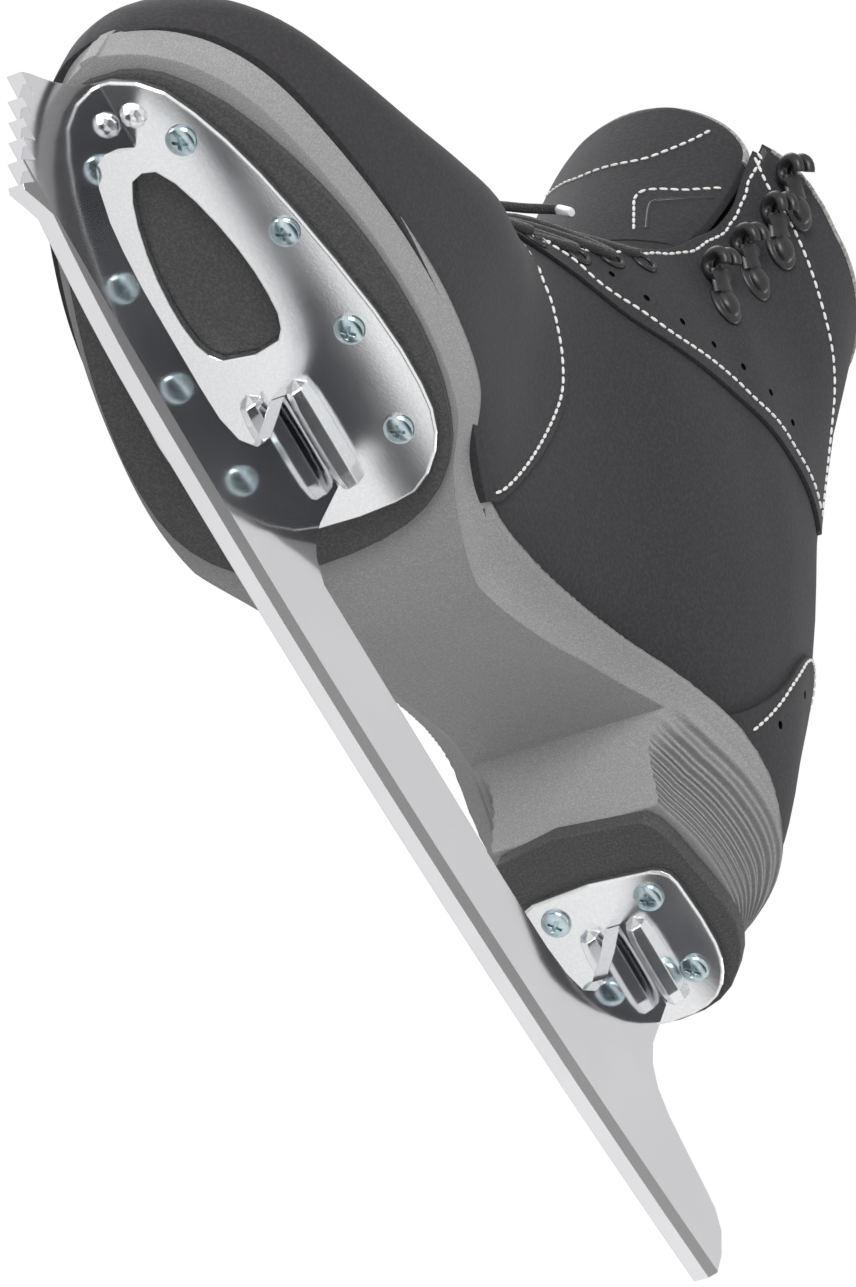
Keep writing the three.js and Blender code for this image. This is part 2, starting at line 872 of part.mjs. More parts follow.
// Tongue: a fixed lower part and an upper part that folds forward.
const tongueSolid = body(insideIn).subtract(body(insideIn + layerTongue));
const tongueHalf = (z) =>
  between(
    [
      [110, 24],
      [160, 30],
      [190, 33],
      [212, 33],
    ],
    z,
  );
const lowLevels = [112, 130, 150, 170, 190, tongueFoldZ - gap];
const lowSide = lowLevels.map((z) => [tongueHalf(z), z]);
const tongueFront = sidePrism(
  [
    [-45, 100],
    [-20, 100],
    [20, 135],
    [50, 170],
    [68, 200],
    [74, 230],
    [80, 330],
    [-45, 330],
  ],
  -60,
  60,
);
const tongueLow = tongueSolid
  .intersect(tongueFront)
  .intersect(frontPrism([...lowSide, ...lowSide.map(([x, z]) => [-x, z]).reverse()], -60, 90));
add("tongue_lower", tongueLow, black);

const tongueClear = 2.6; // from the edges of the opening
const tongueSide = [
  [26, tongueFoldZ],
  ...[225, 238, 250, collarTop].map((z) => [openingAt(z) - tongueClear, z]),
  [34, collarTop + 3.5],
  [31, collarTop + 8],
  [25, collarTop + 11.5],
  [16, collarTop + 13.5],
  [8, collarTop + 14.2],
];
const tongueFrontY = 38.8;
const tongueBow = 0.0135; // how fast the sides curve back
const tongueLean = 0.055; // forward for each millimetre up
const bowFront = [];
const bowRear = [];
for (let x = -36; x <= 36; x += 6) {
  const y = tongueFrontY + tongueBow * x * x;
  bowFront.push([x, y]);
  bowRear.unshift([x, y + layerTongue]);
}
const upright = planPrism([...bowFront, ...bowRear], tongueFoldZ, 290).intersect(
  frontPrism([...tongueSide, ...tongueSide.map(([x, z]) => [-x, z]).reverse()], 20, 90),
);
const lean = new THREE.Matrix4().set(
  1, 0, 0, 0,
  0, 1, -tongueLean, tongueLean * tongueFoldZ,
  0, 0, 1, 0,
  0, 0, 0, 1,
);
const tongueHigh = toSolid(toGeometry(upright).applyMatrix4(lean));
add("tongue_upper", tongueHigh, black);

// Places on the outside of the boot, beside the edge of the front opening.

// Angle 0 is the front middle of the boot and a right angle is its flank.
function surfaceSpot(side, angle, z, lift) {
  const spots = bodyRows.slice(5).map((row) => {
    const [y0, z0, y1, z1, inner, outer, topRound] = row;
    const near = new THREE.Vector2(y0, z0);
    const far = new THREE.Vector2(y1, z1);
    const along = far.clone().sub(near);
    const half = along.length() / 2 + lift;
    const middle = near.add(far).multiplyScalar(0.5);
    along.normalize();
    const wide = (side > 0 ? inner : outer) + lift;
    const reach = half * Math.pow(Math.cos(angle), 2 / topRound);
    const x = side * wide * Math.pow(Math.sin(angle), 2 / topRound);
    return new THREE.Vector3(x, middle.x - along.x * reach, middle.y - along.y * reach);
  });
  for (let i = 1; i < spots.length; i += 1) {
    if (z <= spots[i].z) {
      const t = (z - spots[i - 1].z) / (spots[i].z - spots[i - 1].z);
      return spots[i - 1].clone().lerp(spots[i], t);
    }
  }
  return spots[spots.length - 1];
}

// The angle at a distance along the leather from the edge of the opening.
function angleFromEdge(side, z, distance) {
  const step = 0.01;
  let angle = step;
  while (Math.abs(surfaceSpot(side, angle, z, 0).x) < openingAt(z)) {
    angle += step;
  }
  let gone = 0;
  let last = surfaceSpot(side, angle, z, 0);
  while (gone < distance) {
    angle += step;
    const next = surfaceSpot(side, angle, z, 0);
    gone += next.distanceTo(last);
    last = next;
  }
  return angle;
}

// Turns a solid made round its own origin so that its z points out of the boot
// and its y towards the opening, and sets it on the surface.
function setOn(solid, side, fromEdge, z, lift, tilt = 0) {
  const angle = angleFromEdge(side, z, fromEdge);
  const spot = surfaceSpot(side, angle, z, lift);
  const toEdge = surfaceSpot(side, angle - 0.03, z, lift).sub(spot).normalize();
  const up = surfaceSpot(side, angle, z + 2, lift).sub(spot).normalize();
  const out = new THREE.Vector3().crossVectors(up, toEdge).normalize();
  if (out.dot(spot.clone().sub(new THREE.Vector3(0, 95, z))) < 0) {
    out.negate();
  }
  const long = toEdge.multiplyScalar(Math.cos(tilt)).addScaledVector(up, Math.sin(tilt));
  long.addScaledVector(out, -long.dot(out)).normalize();
  const across = new THREE.Vector3().crossVectors(long, out).normalize();
  const place = new THREE.Matrix4().makeBasis(across, long, out).setPosition(spot);
  return toSolid(toGeometry(solid).applyMatrix4(place));
}

const layersOut = gap + layerPatch + gap; // from the upper to what sits on the stay
const hookLevels = [202.5, 221.5, 238, 252.5];
const hookFromEdge = [16.5, 13, 13, 13];
const hookTilt = Math.PI / 4; // the loops point up and forward
const hookWide = 8;
const hookReach = 9; // from the rivet to the middle of the curl
const curlOut = 3.1;
const curlIn = 2;

function hook() {
  const arc = (radius, from, to) =>
    Array.from({ length: 6 }, (unused, i) => {
      const turn = ((from + ((to - from) * i) / 5) * Math.PI) / 180;
      return [hookReach + radius * Math.cos(turn), curlOut + radius * Math.sin(turn)];
    });
  const profile = [[0, 0], ...arc(curlOut, -90, 125), ...arc(curlIn, 125, -90), [0, 1.1]];
  const curl = sidePrism(profile, -hookWide / 2, hookWide / 2)
    .subtract(box(-0.55, 0.55, hookReach - 6, hookReach + 5, 1.3, 9))
    .intersect(box(-9, 9, hookReach - 4, 20, -1, 9));
  const neck = box(-2.3, 2.3, 0, hookReach, 0, 1.1);
  const foot = rod(0, 0, 0, 1.1, 4.4, 10).transform([1, 0, 0, 0, 0, 1.3, 0, 0, 0, 0, 1, 0, 0, 0, 0, 1]);
  const rivet = rod(0, -0.6, 0.5, 2, 2.6, 8);
  return curl.add(neck).add(foot).add(rivet);
}
const hookSolid = hook();

const eyeletLevels = [152.5, 161.5, 170.5, 179.5, 188.5];
const eyeletIn = 2;
const eyeletOut = 3.9;
const eyeletThick = 0.9;
const eyeletFromEdge = 6;
const seatLift = 0.45; // flat rims sit a little above the curved leather
const eyeletSolid = rod(0, 0, 0, eyeletThick, eyeletOut, 8).subtract(
  rod(0, 0, -1, 2, eyeletIn, 6),
);

for (const [label, side] of sides) {
  hookLevels.forEach((z, i) => {
    const placed = setOn(hookSolid, side, hookFromEdge[i], z, layersOut + seatLift, hookTilt);
    add("lace_hook_" + label + "_" + (i + 1), placed, black);
  });
  eyeletLevels.forEach((z, i) => {
    const placed = setOn(eyeletSolid, side, eyeletFromEdge, z, layersOut + seatLift);
    add("eyelet_" + label + "_" + (i + 1), placed, black);
  });
}

// Lace: threaded crosswise through the eyelets, both ends laid over the tongue.
const laceRadius = 1.3;
const laceLift = layersOut + seatLift + eyeletThick + 4 * gap + laceRadius;
const laceStops = [];
const eyeletSpot = (side, i, lift) => {
  const z = eyeletLevels[i];
  return surfaceSpot(side, angleFromEdge(side, z, eyeletFromEdge), z, lift);
};
const crossSpot = (i, lift) =>
  surfaceSpot(1, 0.02, (eyeletLevels[i] + eyeletLevels[i - 1]) / 2, lift);
const passLift = 2 * laceRadius + gap + 0.6;
for (let i = 4; i >= 1; i -= 1) {
  laceStops.push(eyeletSpot(i % 2 ? -1 : 1, i, laceLift), crossSpot(i, laceLift));
}
laceStops.push(eyeletSpot(1, 0, laceLift));
laceStops.push(surfaceSpot(1, 0.02, eyeletLevels[0], laceLift), eyeletSpot(-1, 0, laceLift));
for (let i = 1; i <= 4; i += 1) {
  laceStops.push(crossSpot(i, laceLift + passLift), eyeletSpot(i % 2 ? 1 : -1, i, laceLift));
}
const lacePath = new THREE.CatmullRomCurve3(laceStops, false, "centripetal");
const laceSection = new THREE.Shape(
  Array.from({ length: 8 }, (unused, i) => {
    const turn = (Math.PI * 2 * i) / 8;
    return new THREE.Vector2(laceRadius * Math.cos(turn), laceRadius * Math.sin(turn));
  }),
);
const laceGeometry = new THREE.ExtrudeGeometry(laceSection, {
  steps: 54,
  bevelEnabled: false,
  extrudePath: lacePath,
});
add("lace", toSolid(laceGeometry), black);

export default group;
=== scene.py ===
import math
import random

import bmesh
import bpy
from mathutils import Matrix, Vector
from mathutils.bvhtree import BVHTree


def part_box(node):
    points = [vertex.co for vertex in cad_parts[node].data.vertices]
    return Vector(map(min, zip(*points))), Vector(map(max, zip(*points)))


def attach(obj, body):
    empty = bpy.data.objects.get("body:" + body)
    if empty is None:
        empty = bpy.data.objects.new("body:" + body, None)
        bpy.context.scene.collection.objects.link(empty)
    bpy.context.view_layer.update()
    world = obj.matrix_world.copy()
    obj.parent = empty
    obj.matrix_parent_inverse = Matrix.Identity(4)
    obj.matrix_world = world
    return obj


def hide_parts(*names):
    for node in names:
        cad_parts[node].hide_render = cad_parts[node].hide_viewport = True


# A right boot on a figure blade. Lengths in the dictionaries are millimetres.

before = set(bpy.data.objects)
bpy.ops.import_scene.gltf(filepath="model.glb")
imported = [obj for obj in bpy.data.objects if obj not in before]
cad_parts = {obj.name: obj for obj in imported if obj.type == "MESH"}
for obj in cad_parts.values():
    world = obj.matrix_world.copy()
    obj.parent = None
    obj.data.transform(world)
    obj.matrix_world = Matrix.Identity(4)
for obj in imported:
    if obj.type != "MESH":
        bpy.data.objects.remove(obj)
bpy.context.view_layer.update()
mm = 0.001




# Shape helpers


def smoothLine(points, steps, closed=False):
    # points joined by a smooth curve, as a longer list.
    spots = [Vector(p) for p in points]
    count = len(spots)
    out = []
    for i in range(count if closed else count - 1):
        if closed:
            a, b, c, d = (spots[(i + k) % count] for k in (-1, 0, 1, 2))
        else:
            a, b, c, d = (spots[min(max(i + k, 0), count - 1)] for k in (-1, 0, 1, 2))
        for k in range(steps):
            t = k / steps
            second, third = 2 * a - 5 * b + 4 * c - d, 3 * b - a - 3 * c + d
            out.append(0.5 * (2 * b + (c - a) * t + second * t**2 + third * t**3))
    if not closed:
        out.append(spots[-1])
    return out


def between(table, x):
    # The value at x in a table of pairs, joined by straight lines.
    if x <= table[0][0]:
        return table[0][1]
    for (xa, ya), (xb, yb) in zip(table, table[1:]):
        if x <= xb:
            return ya + (yb - ya) * (x - xa) / (xb - xa)
    return table[-1][1]




def turnsOf(count):
    # Even turns round a circle
    return [2 * math.pi * k / count for k in range(count)]


def newMesh(name, spots, faces, smooth=True):
    # A mesh object from millimetre points.
    data = bpy.data.meshes.new(name)
    data.from_pydata([tuple(c * mm for c in p) for p in spots], [], faces)
    made = bpy.data.objects.new(name, data)
    bpy.context.scene.collection.objects.link(made)
    tidyNormals(made, smooth)
    return made


def tidyNormals(made, smooth=True, angle=34):
    work = bmesh.new()
    work.from_mesh(made.data)
    bmesh.ops.recalc_face_normals(work, faces=work.faces)
    work.to_mesh(made.data)
    work.free()
    if smooth:
        made.data.shade_smooth()
        made.data.set_sharp_from_angle(angle=math.radians(angle))


def loft(name, rings, closedEnds=True):
    # A closed skin through rings that have the same number of points.
    count = len(rings[0])
    spots = [p for ring in rings for p in ring]
    faces = []
    for k in range(len(rings) - 1):
        for i in range(count):
            j = (i + 1) % count
            faces.append((k * count + i, k * count + j, (k + 1) * count + j, (k + 1) * count + i))
    if closedEnds:
        faces.append(tuple(range(count)))
        faces.append(tuple(range((len(rings) - 1) * count, len(rings) * count)))
    return newMesh(name, spots, faces)


def prism(name, outline, axis, start, end):
    # A closed outline pushed along x or y
    rings = [[(h, p[0], p[1]) if axis == "x" else (p[0], h, p[1]) for p in outline] for h in (start, end)]
    return loft(name, rings)


def cut(made, tool, kind="DIFFERENCE"):
    # Cuts made by tool, or keeps what they share, and removes the tool.
    step = made.modifiers.new("cut", "BOOLEAN")
    step.operation = kind
    step.object = tool
    step.solver = "EXACT"
    graph = bpy.context.evaluated_depsgraph_get()
    data = bpy.data.meshes.new_from_object(made.evaluated_get(graph))
    made.modifiers.clear()
    old = made.data
    made.data = data
    data.name = made.name
    bpy.data.meshes.remove(old)
    bpy.data.objects.remove(tool, do_unlink=True)
    return made


def tubeAlong(name, path, radius, flat=1.0, closed=False, sides=12, outward=None):
    # A round or flattened cord along a path. outward gives the flat side's direction at each point
    rings = []
    count = len(path)
    for i, p in enumerate(path):
        ahead = path[(i + 1) % count] if closed or i + 1 < count else path[i]
        behind = path[i - 1] if closed or i else path[0]
        forward = (Vector(ahead) - Vector(behind)).normalized()
        up = Vector(outward[i]) if outward else Vector((0, 0, 1))
        side = forward.cross(up).normalized()
        up = side.cross(forward).normalized()
        size = radius[i] if isinstance(radius, list) else radius
        turns = turnsOf(sides)
        rings.append([Vector(p) + (side * math.cos(a) + up * flat * math.sin(a)) * size for a in turns])
    if closed:
        rings.append(rings[0])
    return loft(name, rings, not closed)


def finishPiece(made, body, material, stands=()):
    # Gives a piece its finish and body, and hides the CAD nodes that it stands for.
    made.data.materials.clear()
    made.data.materials.append(material)
    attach(made, body)
    if stands:
        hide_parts(*stands)
    return made


# Finishes


def joinSockets(tree, target, value):
    # value is another node's output, or a plain number
    if isinstance(value, bpy.types.NodeSocket):
        tree.links.new(value, target)
    else:
        target.default_value = value


def mathNode(tree, operation, *values):
    made = tree.nodes.new("ShaderNodeMath")
    made.operation = operation
    for target, value in zip(made.inputs, values):
        joinSockets(tree, target, value)
    return made.outputs["Value"]


def rangeNode(tree, value, start, end, low=0, high=1, soft=False):
    made = tree.nodes.new("ShaderNodeMapRange")
    if soft:
        made.interpolation_type = "SMOOTHSTEP"
    named = (("Value", value), ("From Min", start), ("From Max", end), ("To Min", low), ("To Max", high))
    for name, given in named:
        joinSockets(tree, made.inputs[name], given)
    return made.outputs["Result"]


def mixNode(tree, kind, factor, a, b):
    made = tree.nodes.new("ShaderNodeMix")
    made.data_type = kind
    for name, given in (("Factor", factor), ("A", a), ("B", b)):
        joinSockets(tree, made.inputs[name], given)
    return made.outputs["Result"]


def splitNode(tree, vector):
    made = tree.nodes.new("ShaderNodeSeparateXYZ")
    tree.links.new(vector, made.inputs["Vector"])
    return made.outputs


def noiseNode(tree, vector, scale, detail):
    made = tree.nodes.new("ShaderNodeTexNoise")
    made.inputs["Detail"].default_value = detail
    tree.links.new(vector, made.inputs["Vector"])
    joinSockets(tree, made.inputs["Scale"], scale)
    return made.outputs["Fac"]


def newGroup(name, inputs, outputs):
    # A node group with named sockets: inputs hold a starting value, outputs are named with their kind
    group = bpy.data.node_groups.new(name, "ShaderNodeTree")
    for label, value in inputs:
        kind = "NodeSocketColor" if isinstance(value, tuple) else "NodeSocketFloat"
        made = group.interface.new_socket(label, in_out="INPUT", socket_type=kind)
        made.default_value = value
    for label, kind in outputs:
        group.interface.new_socket(label, in_out="OUTPUT", socket_type="NodeSocket" + kind)
    start, end = group.nodes.new("NodeGroupInput"), group.nodes.new("NodeGroupOutput")
    place = group.nodes.new("ShaderNodeTexCoord")
    return group, start.outputs, end.inputs, place.outputs


def grainGroup():
    # Flecked colour, uneven roughness and fine grain for any surface
    group, given, result, place = newGroup(
        "surfaceGrain",
        [
            ("Base", (0.5, 0.5, 0.5, 1)),
            ("Fleck", (0.6, 0.6, 0.6, 1)),
            ("Size", 1000),
            ("Rough", 0.5),
            ("Spread", 0.1),
            ("Depth", 0.1),
        ],
        [("Color", "Color"), ("Roughness", "Float"), ("Height", "Float")],
    )
    fine = noiseNode(group, place["Object"], given["Size"], 3)
    wide = noiseNode(group, place["Object"], 22, 4)
    color = mixNode(group, "RGBA", rangeNode(group, fine, 0.42, 0.68), given["Base"], given["Fleck"])
    uneven = mathNode(group, "SUBTRACT", wide, 0.5)
    rough = mathNode(group, "MULTIPLY_ADD", uneven, given["Spread"], given["Rough"])
    group.links.new(color, result["Color"])
    group.links.new(rough, result["Roughness"])
    group.links.new(mathNode(group, "MULTIPLY", fine, given["Depth"]), result["Height"])
    return group


heelRib = {"pitch": 3, "depth": 0.5, "shade": 1.1}


def ribGroup():
    # Level ribs round the rear and sides of the heel, faded out at their ends
    group, given, result, place = newGroup(
        "heelRibs",
        [("Pitch", heelRib["pitch"] * mm), ("Height", 0), ("Depth", heelRib["shade"])],
        [("Height", "Float")],
    )
    spot = splitNode(group, place["Object"])
    turns = mathNode(group, "DIVIDE", spot["Z"], given["Pitch"])
    wave = mathNode(group, "COSINE", mathNode(group, "MULTIPLY", turns, 2 * math.pi))
    rear = rangeNode(group, spot["Y"], 0.104, 0.112)
    under = rangeNode(group, spot["Z"], 0.0915, 0.0885)
    sideways = rangeNode(group, splitNode(group, place["Normal"])["Y"], -0.5, -0.35)
    zone = mathNode(group, "MULTIPLY", rear, mathNode(group, "MULTIPLY", under, sideways))
    shown = mathNode(group, "MULTIPLY", wave, zone)
    total = mathNode(group, "MULTIPLY_ADD", shown, given["Depth"], given["Height"])
    group.links.new(total, result["Height"])
    return group


def bandGroup():
    # The ground strip along the lower edge of the runner, duller and darker than the side above it
    group, given, result, place = newGroup(
        "groundBand",
        [
            ("Color", (0.8, 0.8, 0.8, 1)),
            ("Ground", (0.5, 0.5, 0.5, 1)),
            ("Roughness", 0.2),
            ("Dull", 0.45),
            ("Height", 0.0048),
        ],
        [("Color", "Color"), ("Roughness", "Float")],
    )
    rocker = 2.13  # radius of the runner's curve, in metres
    spot = splitNode(group, place["Object"])
    square = mathNode(group, "MULTIPLY", spot["Y"], spot["Y"])
    above = mathNode(group, "MULTIPLY_ADD", square, -1 / (2 * rocker), spot["Z"])
    inside = mathNode(group, "LESS_THAN", above, given["Height"])
    side = group.nodes.new("ShaderNodeNewGeometry")
    flank = mathNode(group, "ABSOLUTE", splitNode(group, side.outputs["True Normal"])["X"])
    onSide = mathNode(group, "MULTIPLY", inside, flank)
    group.links.new(mixNode(group, "RGBA", onSide, given["Color"], given["Ground"]), result["Color"])
    group.links.new(mixNode(group, "FLOAT", onSide, given["Roughness"], given["Dull"]), result["Roughness"])
    return group


def crownGroup():
    # A very shallow crown across the pressed plates
    sockets = [("Rise", 1), ("Height", 0)]
    group, given, result, place = newGroup("pressedCrown", sockets, [("Height", "Float")])
    spot = splitNode(group, place["Object"])
    square = mathNode(group, "MULTIPLY", spot["X"], spot["X"])
    bent = mathNode(group, "MULTIPLY", square, given["Rise"])
    group.links.new(mathNode(group, "SUBTRACT", given["Height"], bent), result["Height"])
    return group


# Fleck size is per metre, grain depth and edge rounding are in millimetres
looks = {
    "nubuck": {
        "base": (0.0265, 0.0243, 0.0288), "fleck": (0.038, 0.0365, 0.041),
        "size": 1100, "rough": 0.8, "spread": 0.12, "depth": 0.16, "metal": 0,
        "sheen": 0.05, "edge": 0.5, "shine": 0.28,
    },
    "edgeSuede": {
        "base": (0.25, 0.24, 0.24), "fleck": (0.5, 0.49, 0.48),
        "size": 1300, "rough": 0.95, "spread": 0.05, "depth": 0.5, "metal": 0,
        "sheen": 0.5, "edge": 0.3,
    },
    "darkSuede": {
        "base": (0.05, 0.049, 0.051), "fleck": (0.13, 0.128, 0.13),
        "size": 1300, "rough": 0.95, "spread": 0.05, "depth": 0.5, "metal": 0,
        "sheen": 0.2, "edge": 0.3, "shine": 0.2,
    },
    # Painted shade: the black inside of the punched holes
    "holeShadeBlack": {
        "base": (0.002, 0.002, 0.002), "fleck": (0.003, 0.003, 0.003),
        "size": 500, "rough": 1, "spread": 0, "depth": 0, "metal": 0,
        "sheen": 0, "edge": 0, "shine": 0,
    },
    "lining": {
        "base": (0.022, 0.022, 0.024), "fleck": (0.04, 0.04, 0.043),
        "size": 1600, "rough": 0.9, "spread": 0.1, "depth": 0.3, "metal": 0,
        "sheen": 0.1, "edge": 0.8, "shine": 0.2,
    },
    "thread": {
        "base": (0.72, 0.72, 0.7), "fleck": (0.85, 0.85, 0.83),
        "size": 2500, "rough": 0.75, "spread": 0.1, "depth": 0.2, "metal": 0,
        "sheen": 0.3, "edge": 0,
    },
    "foam": {
        "base": (0.26, 0.258, 0.258), "fleck": (0.35, 0.348, 0.349),
        "size": 2400, "rough": 0.62, "spread": 0.15, "depth": 0.2, "metal": 0,
        "sheen": 0, "edge": 0.9, "shine": 0.35,
    },
    "rubber": {
        "base": (0.06, 0.06, 0.061), "fleck": (0.095, 0.095, 0.097),
        "size": 1700, "rough": 0.7, "spread": 0.12, "depth": 0.3, "metal": 0,
        "sheen": 0, "edge": 0.5, "shine": 0.3,
    },
    # Black metal of the hooks and eyelets, also painted shade along the tongue's recess
    "blackMetalAndCreaseShade": {
        "base": (0.018, 0.018, 0.02), "fleck": (0.03, 0.03, 0.032),
        "size": 500, "rough": 0.34, "spread": 0.1, "depth": 0.03, "metal": 0.2,
        "sheen": 0, "edge": 0.3,
    },
    "cordBlack": {
        "base": (0.015, 0.015, 0.016), "fleck": (0.04, 0.04, 0.042),
        "size": 2200, "rough": 0.8, "spread": 0.1, "depth": 0.7, "metal": 0,
        "sheen": 0.3, "edge": 0,
    },
    "zinc": {
        "base": (0.46, 0.58, 0.62), "fleck": (0.6, 0.68, 0.7),
        "size": 420, "rough": 0.24, "spread": 0.12, "depth": 0.05, "metal": 1,
        "sheen": 0, "edge": 0.25,
    },
    "chrome": {
        "base": (0.83, 0.84, 0.85), "fleck": (0.88, 0.89, 0.9),
        "size": 1500, "rough": 0.2, "spread": 0.2, "depth": 0.012, "metal": 1,
        "sheen": 0, "edge": 0.6,
    },
    "steel": {
        "base": (0.8, 0.8, 0.825), "fleck": (0.83, 0.83, 0.85),
        "size": 40, "rough": 0.075, "spread": 0.05, "depth": 0.006, "metal": 1,
        "sheen": 0, "edge": 0.25,
    },
    "footbed": {
        "base": (0.05, 0.05, 0.055), "fleck": (0.1, 0.1, 0.11),
        "size": 1500, "rough": 0.9, "spread": 0.08, "depth": 0.3, "metal": 0,
        "sheen": 0.3, "edge": 0.8,
    },
    "plastic": {
        "base": (0.62, 0.64, 0.67), "fleck": (0.75, 0.76, 0.78),
        "size": 700, "rough": 0.35, "spread": 0.1, "depth": 0.05, "metal": 0,
        "sheen": 0, "edge": 0,
    },
}
grainNodes, ribNodes, bandNodes, crownNodes = grainGroup(), ribGroup(), bandGroup(), crownGroup()


def makeFinish(name, look, extra=None):
    # A procedural finish built on the shared grain. extra adds the ribs, the ground band or the crown.
    made = bpy.data.materials.new(name)
    made.use_nodes = True
    nodes, links = made.node_tree.nodes, made.node_tree.links
    shade = nodes["Principled BSDF"]
    grain = nodes.new("ShaderNodeGroup")
    grain.node_tree = grainNodes
    grain.inputs["Base"].default_value = (*look["base"], 1)
    grain.inputs["Fleck"].default_value = (*look["fleck"], 1)
    grain.inputs["Size"].default_value = look["size"]
    grain.inputs["Rough"].default_value = look["rough"]
    grain.inputs["Spread"].default_value = look["spread"]
    grain.inputs["Depth"].default_value = look["depth"]
    bump = nodes.new("ShaderNodeBump")
    bump.inputs["Strength"].default_value = 1
    bump.inputs["Distance"].default_value = 0.001
    color, rough, height = grain.outputs["Color"], grain.outputs["Roughness"], grain.outputs["Height"]
    if extra == "ribs":
        ribs = nodes.new("ShaderNodeGroup")
        ribs.node_tree = ribNodes
        links.new(height, ribs.inputs["Height"])
        height = ribs.outputs["Height"]
    if extra == "band":
        band = nodes.new("ShaderNodeGroup")
        band.node_tree = bandNodes
        band.inputs["Ground"].default_value = (0.36, 0.36, 0.365, 1)
        links.new(color, band.inputs["Color"])
        links.new(rough, band.inputs["Roughness"])
        color, rough = band.outputs["Color"], band.outputs["Roughness"]
    if extra == "crown":
        crown = nodes.new("ShaderNodeGroup")
        crown.node_tree = crownNodes
        crown.inputs["Rise"].default_value = 500
        links.new(height, crown.inputs["Height"])
        height = crown.outputs["Height"]
    links.new(color, shade.inputs["Base Color"])
    links.new(rough, shade.inputs["Roughness"])
    links.new(height, bump.inputs["Height"])
    if look["edge"]:
        edge = nodes.new("ShaderNodeBevel")
        edge.samples = 4
        edge.inputs["Radius"].default_value = look["edge"] * mm
        links.new(edge.outputs["Normal"], bump.inputs["Normal"])
    links.new(bump.outputs["Normal"], shade.inputs["Normal"])
    shade.inputs["Metallic"].default_value = look["metal"]
    shade.inputs["Sheen Weight"].default_value = look["sheen"]
    shade.inputs["Sheen Roughness"].default_value = 0.5
    shade.inputs["Specular IOR Level"].default_value = look.get("shine", 0.5)
    return made


extras = {"foam": "ribs", "steel": "band", "chrome": "crown"}
finishes = {name: makeFinish(name, look, extras.get(name)) for name, look in looks.items()}
print("finishes made")


# Boot

body = {
    "across": 96,  # points round each ring
    "along": 110,  # rings from toe to collar
    "rows": [  # front y z, sole y z, inner and outer half width, roundness of top and sole
        (-112.5, 77, -112, 66, 5, 4, 2, 2),
        (-109.3, 85.5, -109, 61, 16.5, 12, 2, 3),
        (-102, 93, -103, 59, 26, 20, 2.1, 5),
        (-90.5, 99.5, -92.5, 58, 33.8, 28, 2.1, 7),
        (-74, 106, -77, 58, 39, 35.5, 2.1, 8),
        (-54, 115, -57, 57, 42.6, 43, 2.2, 8),
        (-37, 126, -38, 57, 43.6, 47.6, 2.3, 8),
        (-22, 138.5, -17, 57, 42.2, 50, 2.3, 8),
        (-10, 150, 6, 57, 36.4, 48.6, 2.3, 5.5),
        (1, 162, 32, 59, 30, 43.6, 2.3, 4.5),
        (10, 174, 58, 68, 29, 38, 2.3, 4.2),
        (17.5, 185, 84, 80, 31.6, 36.4, 2.3, 4.2),
        (24, 195.5, 110, 86, 36.6, 37.6, 2.3, 5),
        (29, 206, 142, 83, 39, 39, 2.4, 3.4),
        (32.5, 216, 167, 90, 39.6, 39.6, 2.5, 2.4),
        (35, 225, 169, 112, 39.6, 39.6, 2.6, 2),
        (37, 234, 163.5, 142, 38.4, 38.4, 2.7, 2),
        (38.5, 242.5, 149, 174, 38.2, 38.2, 2.8, 2),
        (39.5, 251, 137.5, 204, 39.8, 39.8, 2.9, 2),
        (40.3, 261, 130, 234, 41.8, 41.8, 3, 2),
        (41, 273, 123.5, 262, 43, 43, 3.1, 2),
        (41.5, 286, 118, 286, 43.4, 43.4, 3.1, 2),
        (42, 304, 115, 310, 43.4, 43.4, 3.1, 2),
    ],
}
upper = {
    "thick": 2.3,
    "vampProud": 0.9,  # the vamp is lapped over the quarters
    "overlay": 1.3,  # how far the sewn overlays stand out
    "overlayIn": 0.15,
    "liningThick": 4.6,
    "collar": [(20, 264), (46, 264), (66, 263), (80, 261), (104, 257), (150, 254)],
    "lasting": [
        (-125, 68), (-60, 65.4), (0, 65), (25, 64.8), (45, 69), (62, 76), (80, 84.6), (95, 91),
        (110, 93.6), (130, 92.6), (150, 90.4), (189, 89),
    ],
    "throat": [
        (144, 2), (151, 10), (165, 17), (185, 23), (200, 27), (214, 29.5), (238, 33), (262, 35),
        (310, 37),
    ],
    "seam": [
        (-13, 160), (-4, 153), (8, 145), (17, 137), (25, 128.5), (31, 117), (32.5, 101),
        (30.5, 81), (26, 56),
    ],
    "stayLow": [
        (-8, 150), (4, 155.5), (20, 160.5), (42, 163), (60, 170), (80, 178), (101, 184),
        (120, 184.5),
    ],
    "stayHigh": [
        (122.5, 187), (117, 203.5), (107.5, 221), (90, 235.5), (68, 246.5), (57, 252), (50, 258),
    ],
    "counter": [
        (190, 153), (150, 154.5), (137, 151), (129, 139), (125, 120), (119, 104), (112, 92),
    ],
}
rowLine = smoothLine(body["rows"], 40)
lastingLine = [tuple(p) for p in smoothLine(upper["lasting"], 12)]


def ringPoint(u, turn, out):
    # A point on the boot: u runs from 0 at the toe to 1 at the top, turn is 0 at the front
    y0, z0, y1, z1, inner, outer, topRound, soleRound = rowLine[round(u * (len(rowLine) - 1))]
    near, far = Vector((y0, z0)), Vector((y1, z1))
    along = far - near
    half = max(1.5, along.length / 2 + out)
    middle = (near + far) / 2
    along.normalize()
    c, s = math.cos(turn), math.sin(turn)
    power = topRound if c > 0 else soleRound
    reach = -math.copysign(abs(c) ** (2 / power), c) * half
    wide = max(1.5, (inner if s > 0 else outer) + out)
    x = math.copysign(abs(s) ** (2 / power), s) * wide
    place = middle + along * reach
    toe = max(0, min(1, (-90 - y0) / 23))
    return Vector((x, place.x - toe * out, place.y))


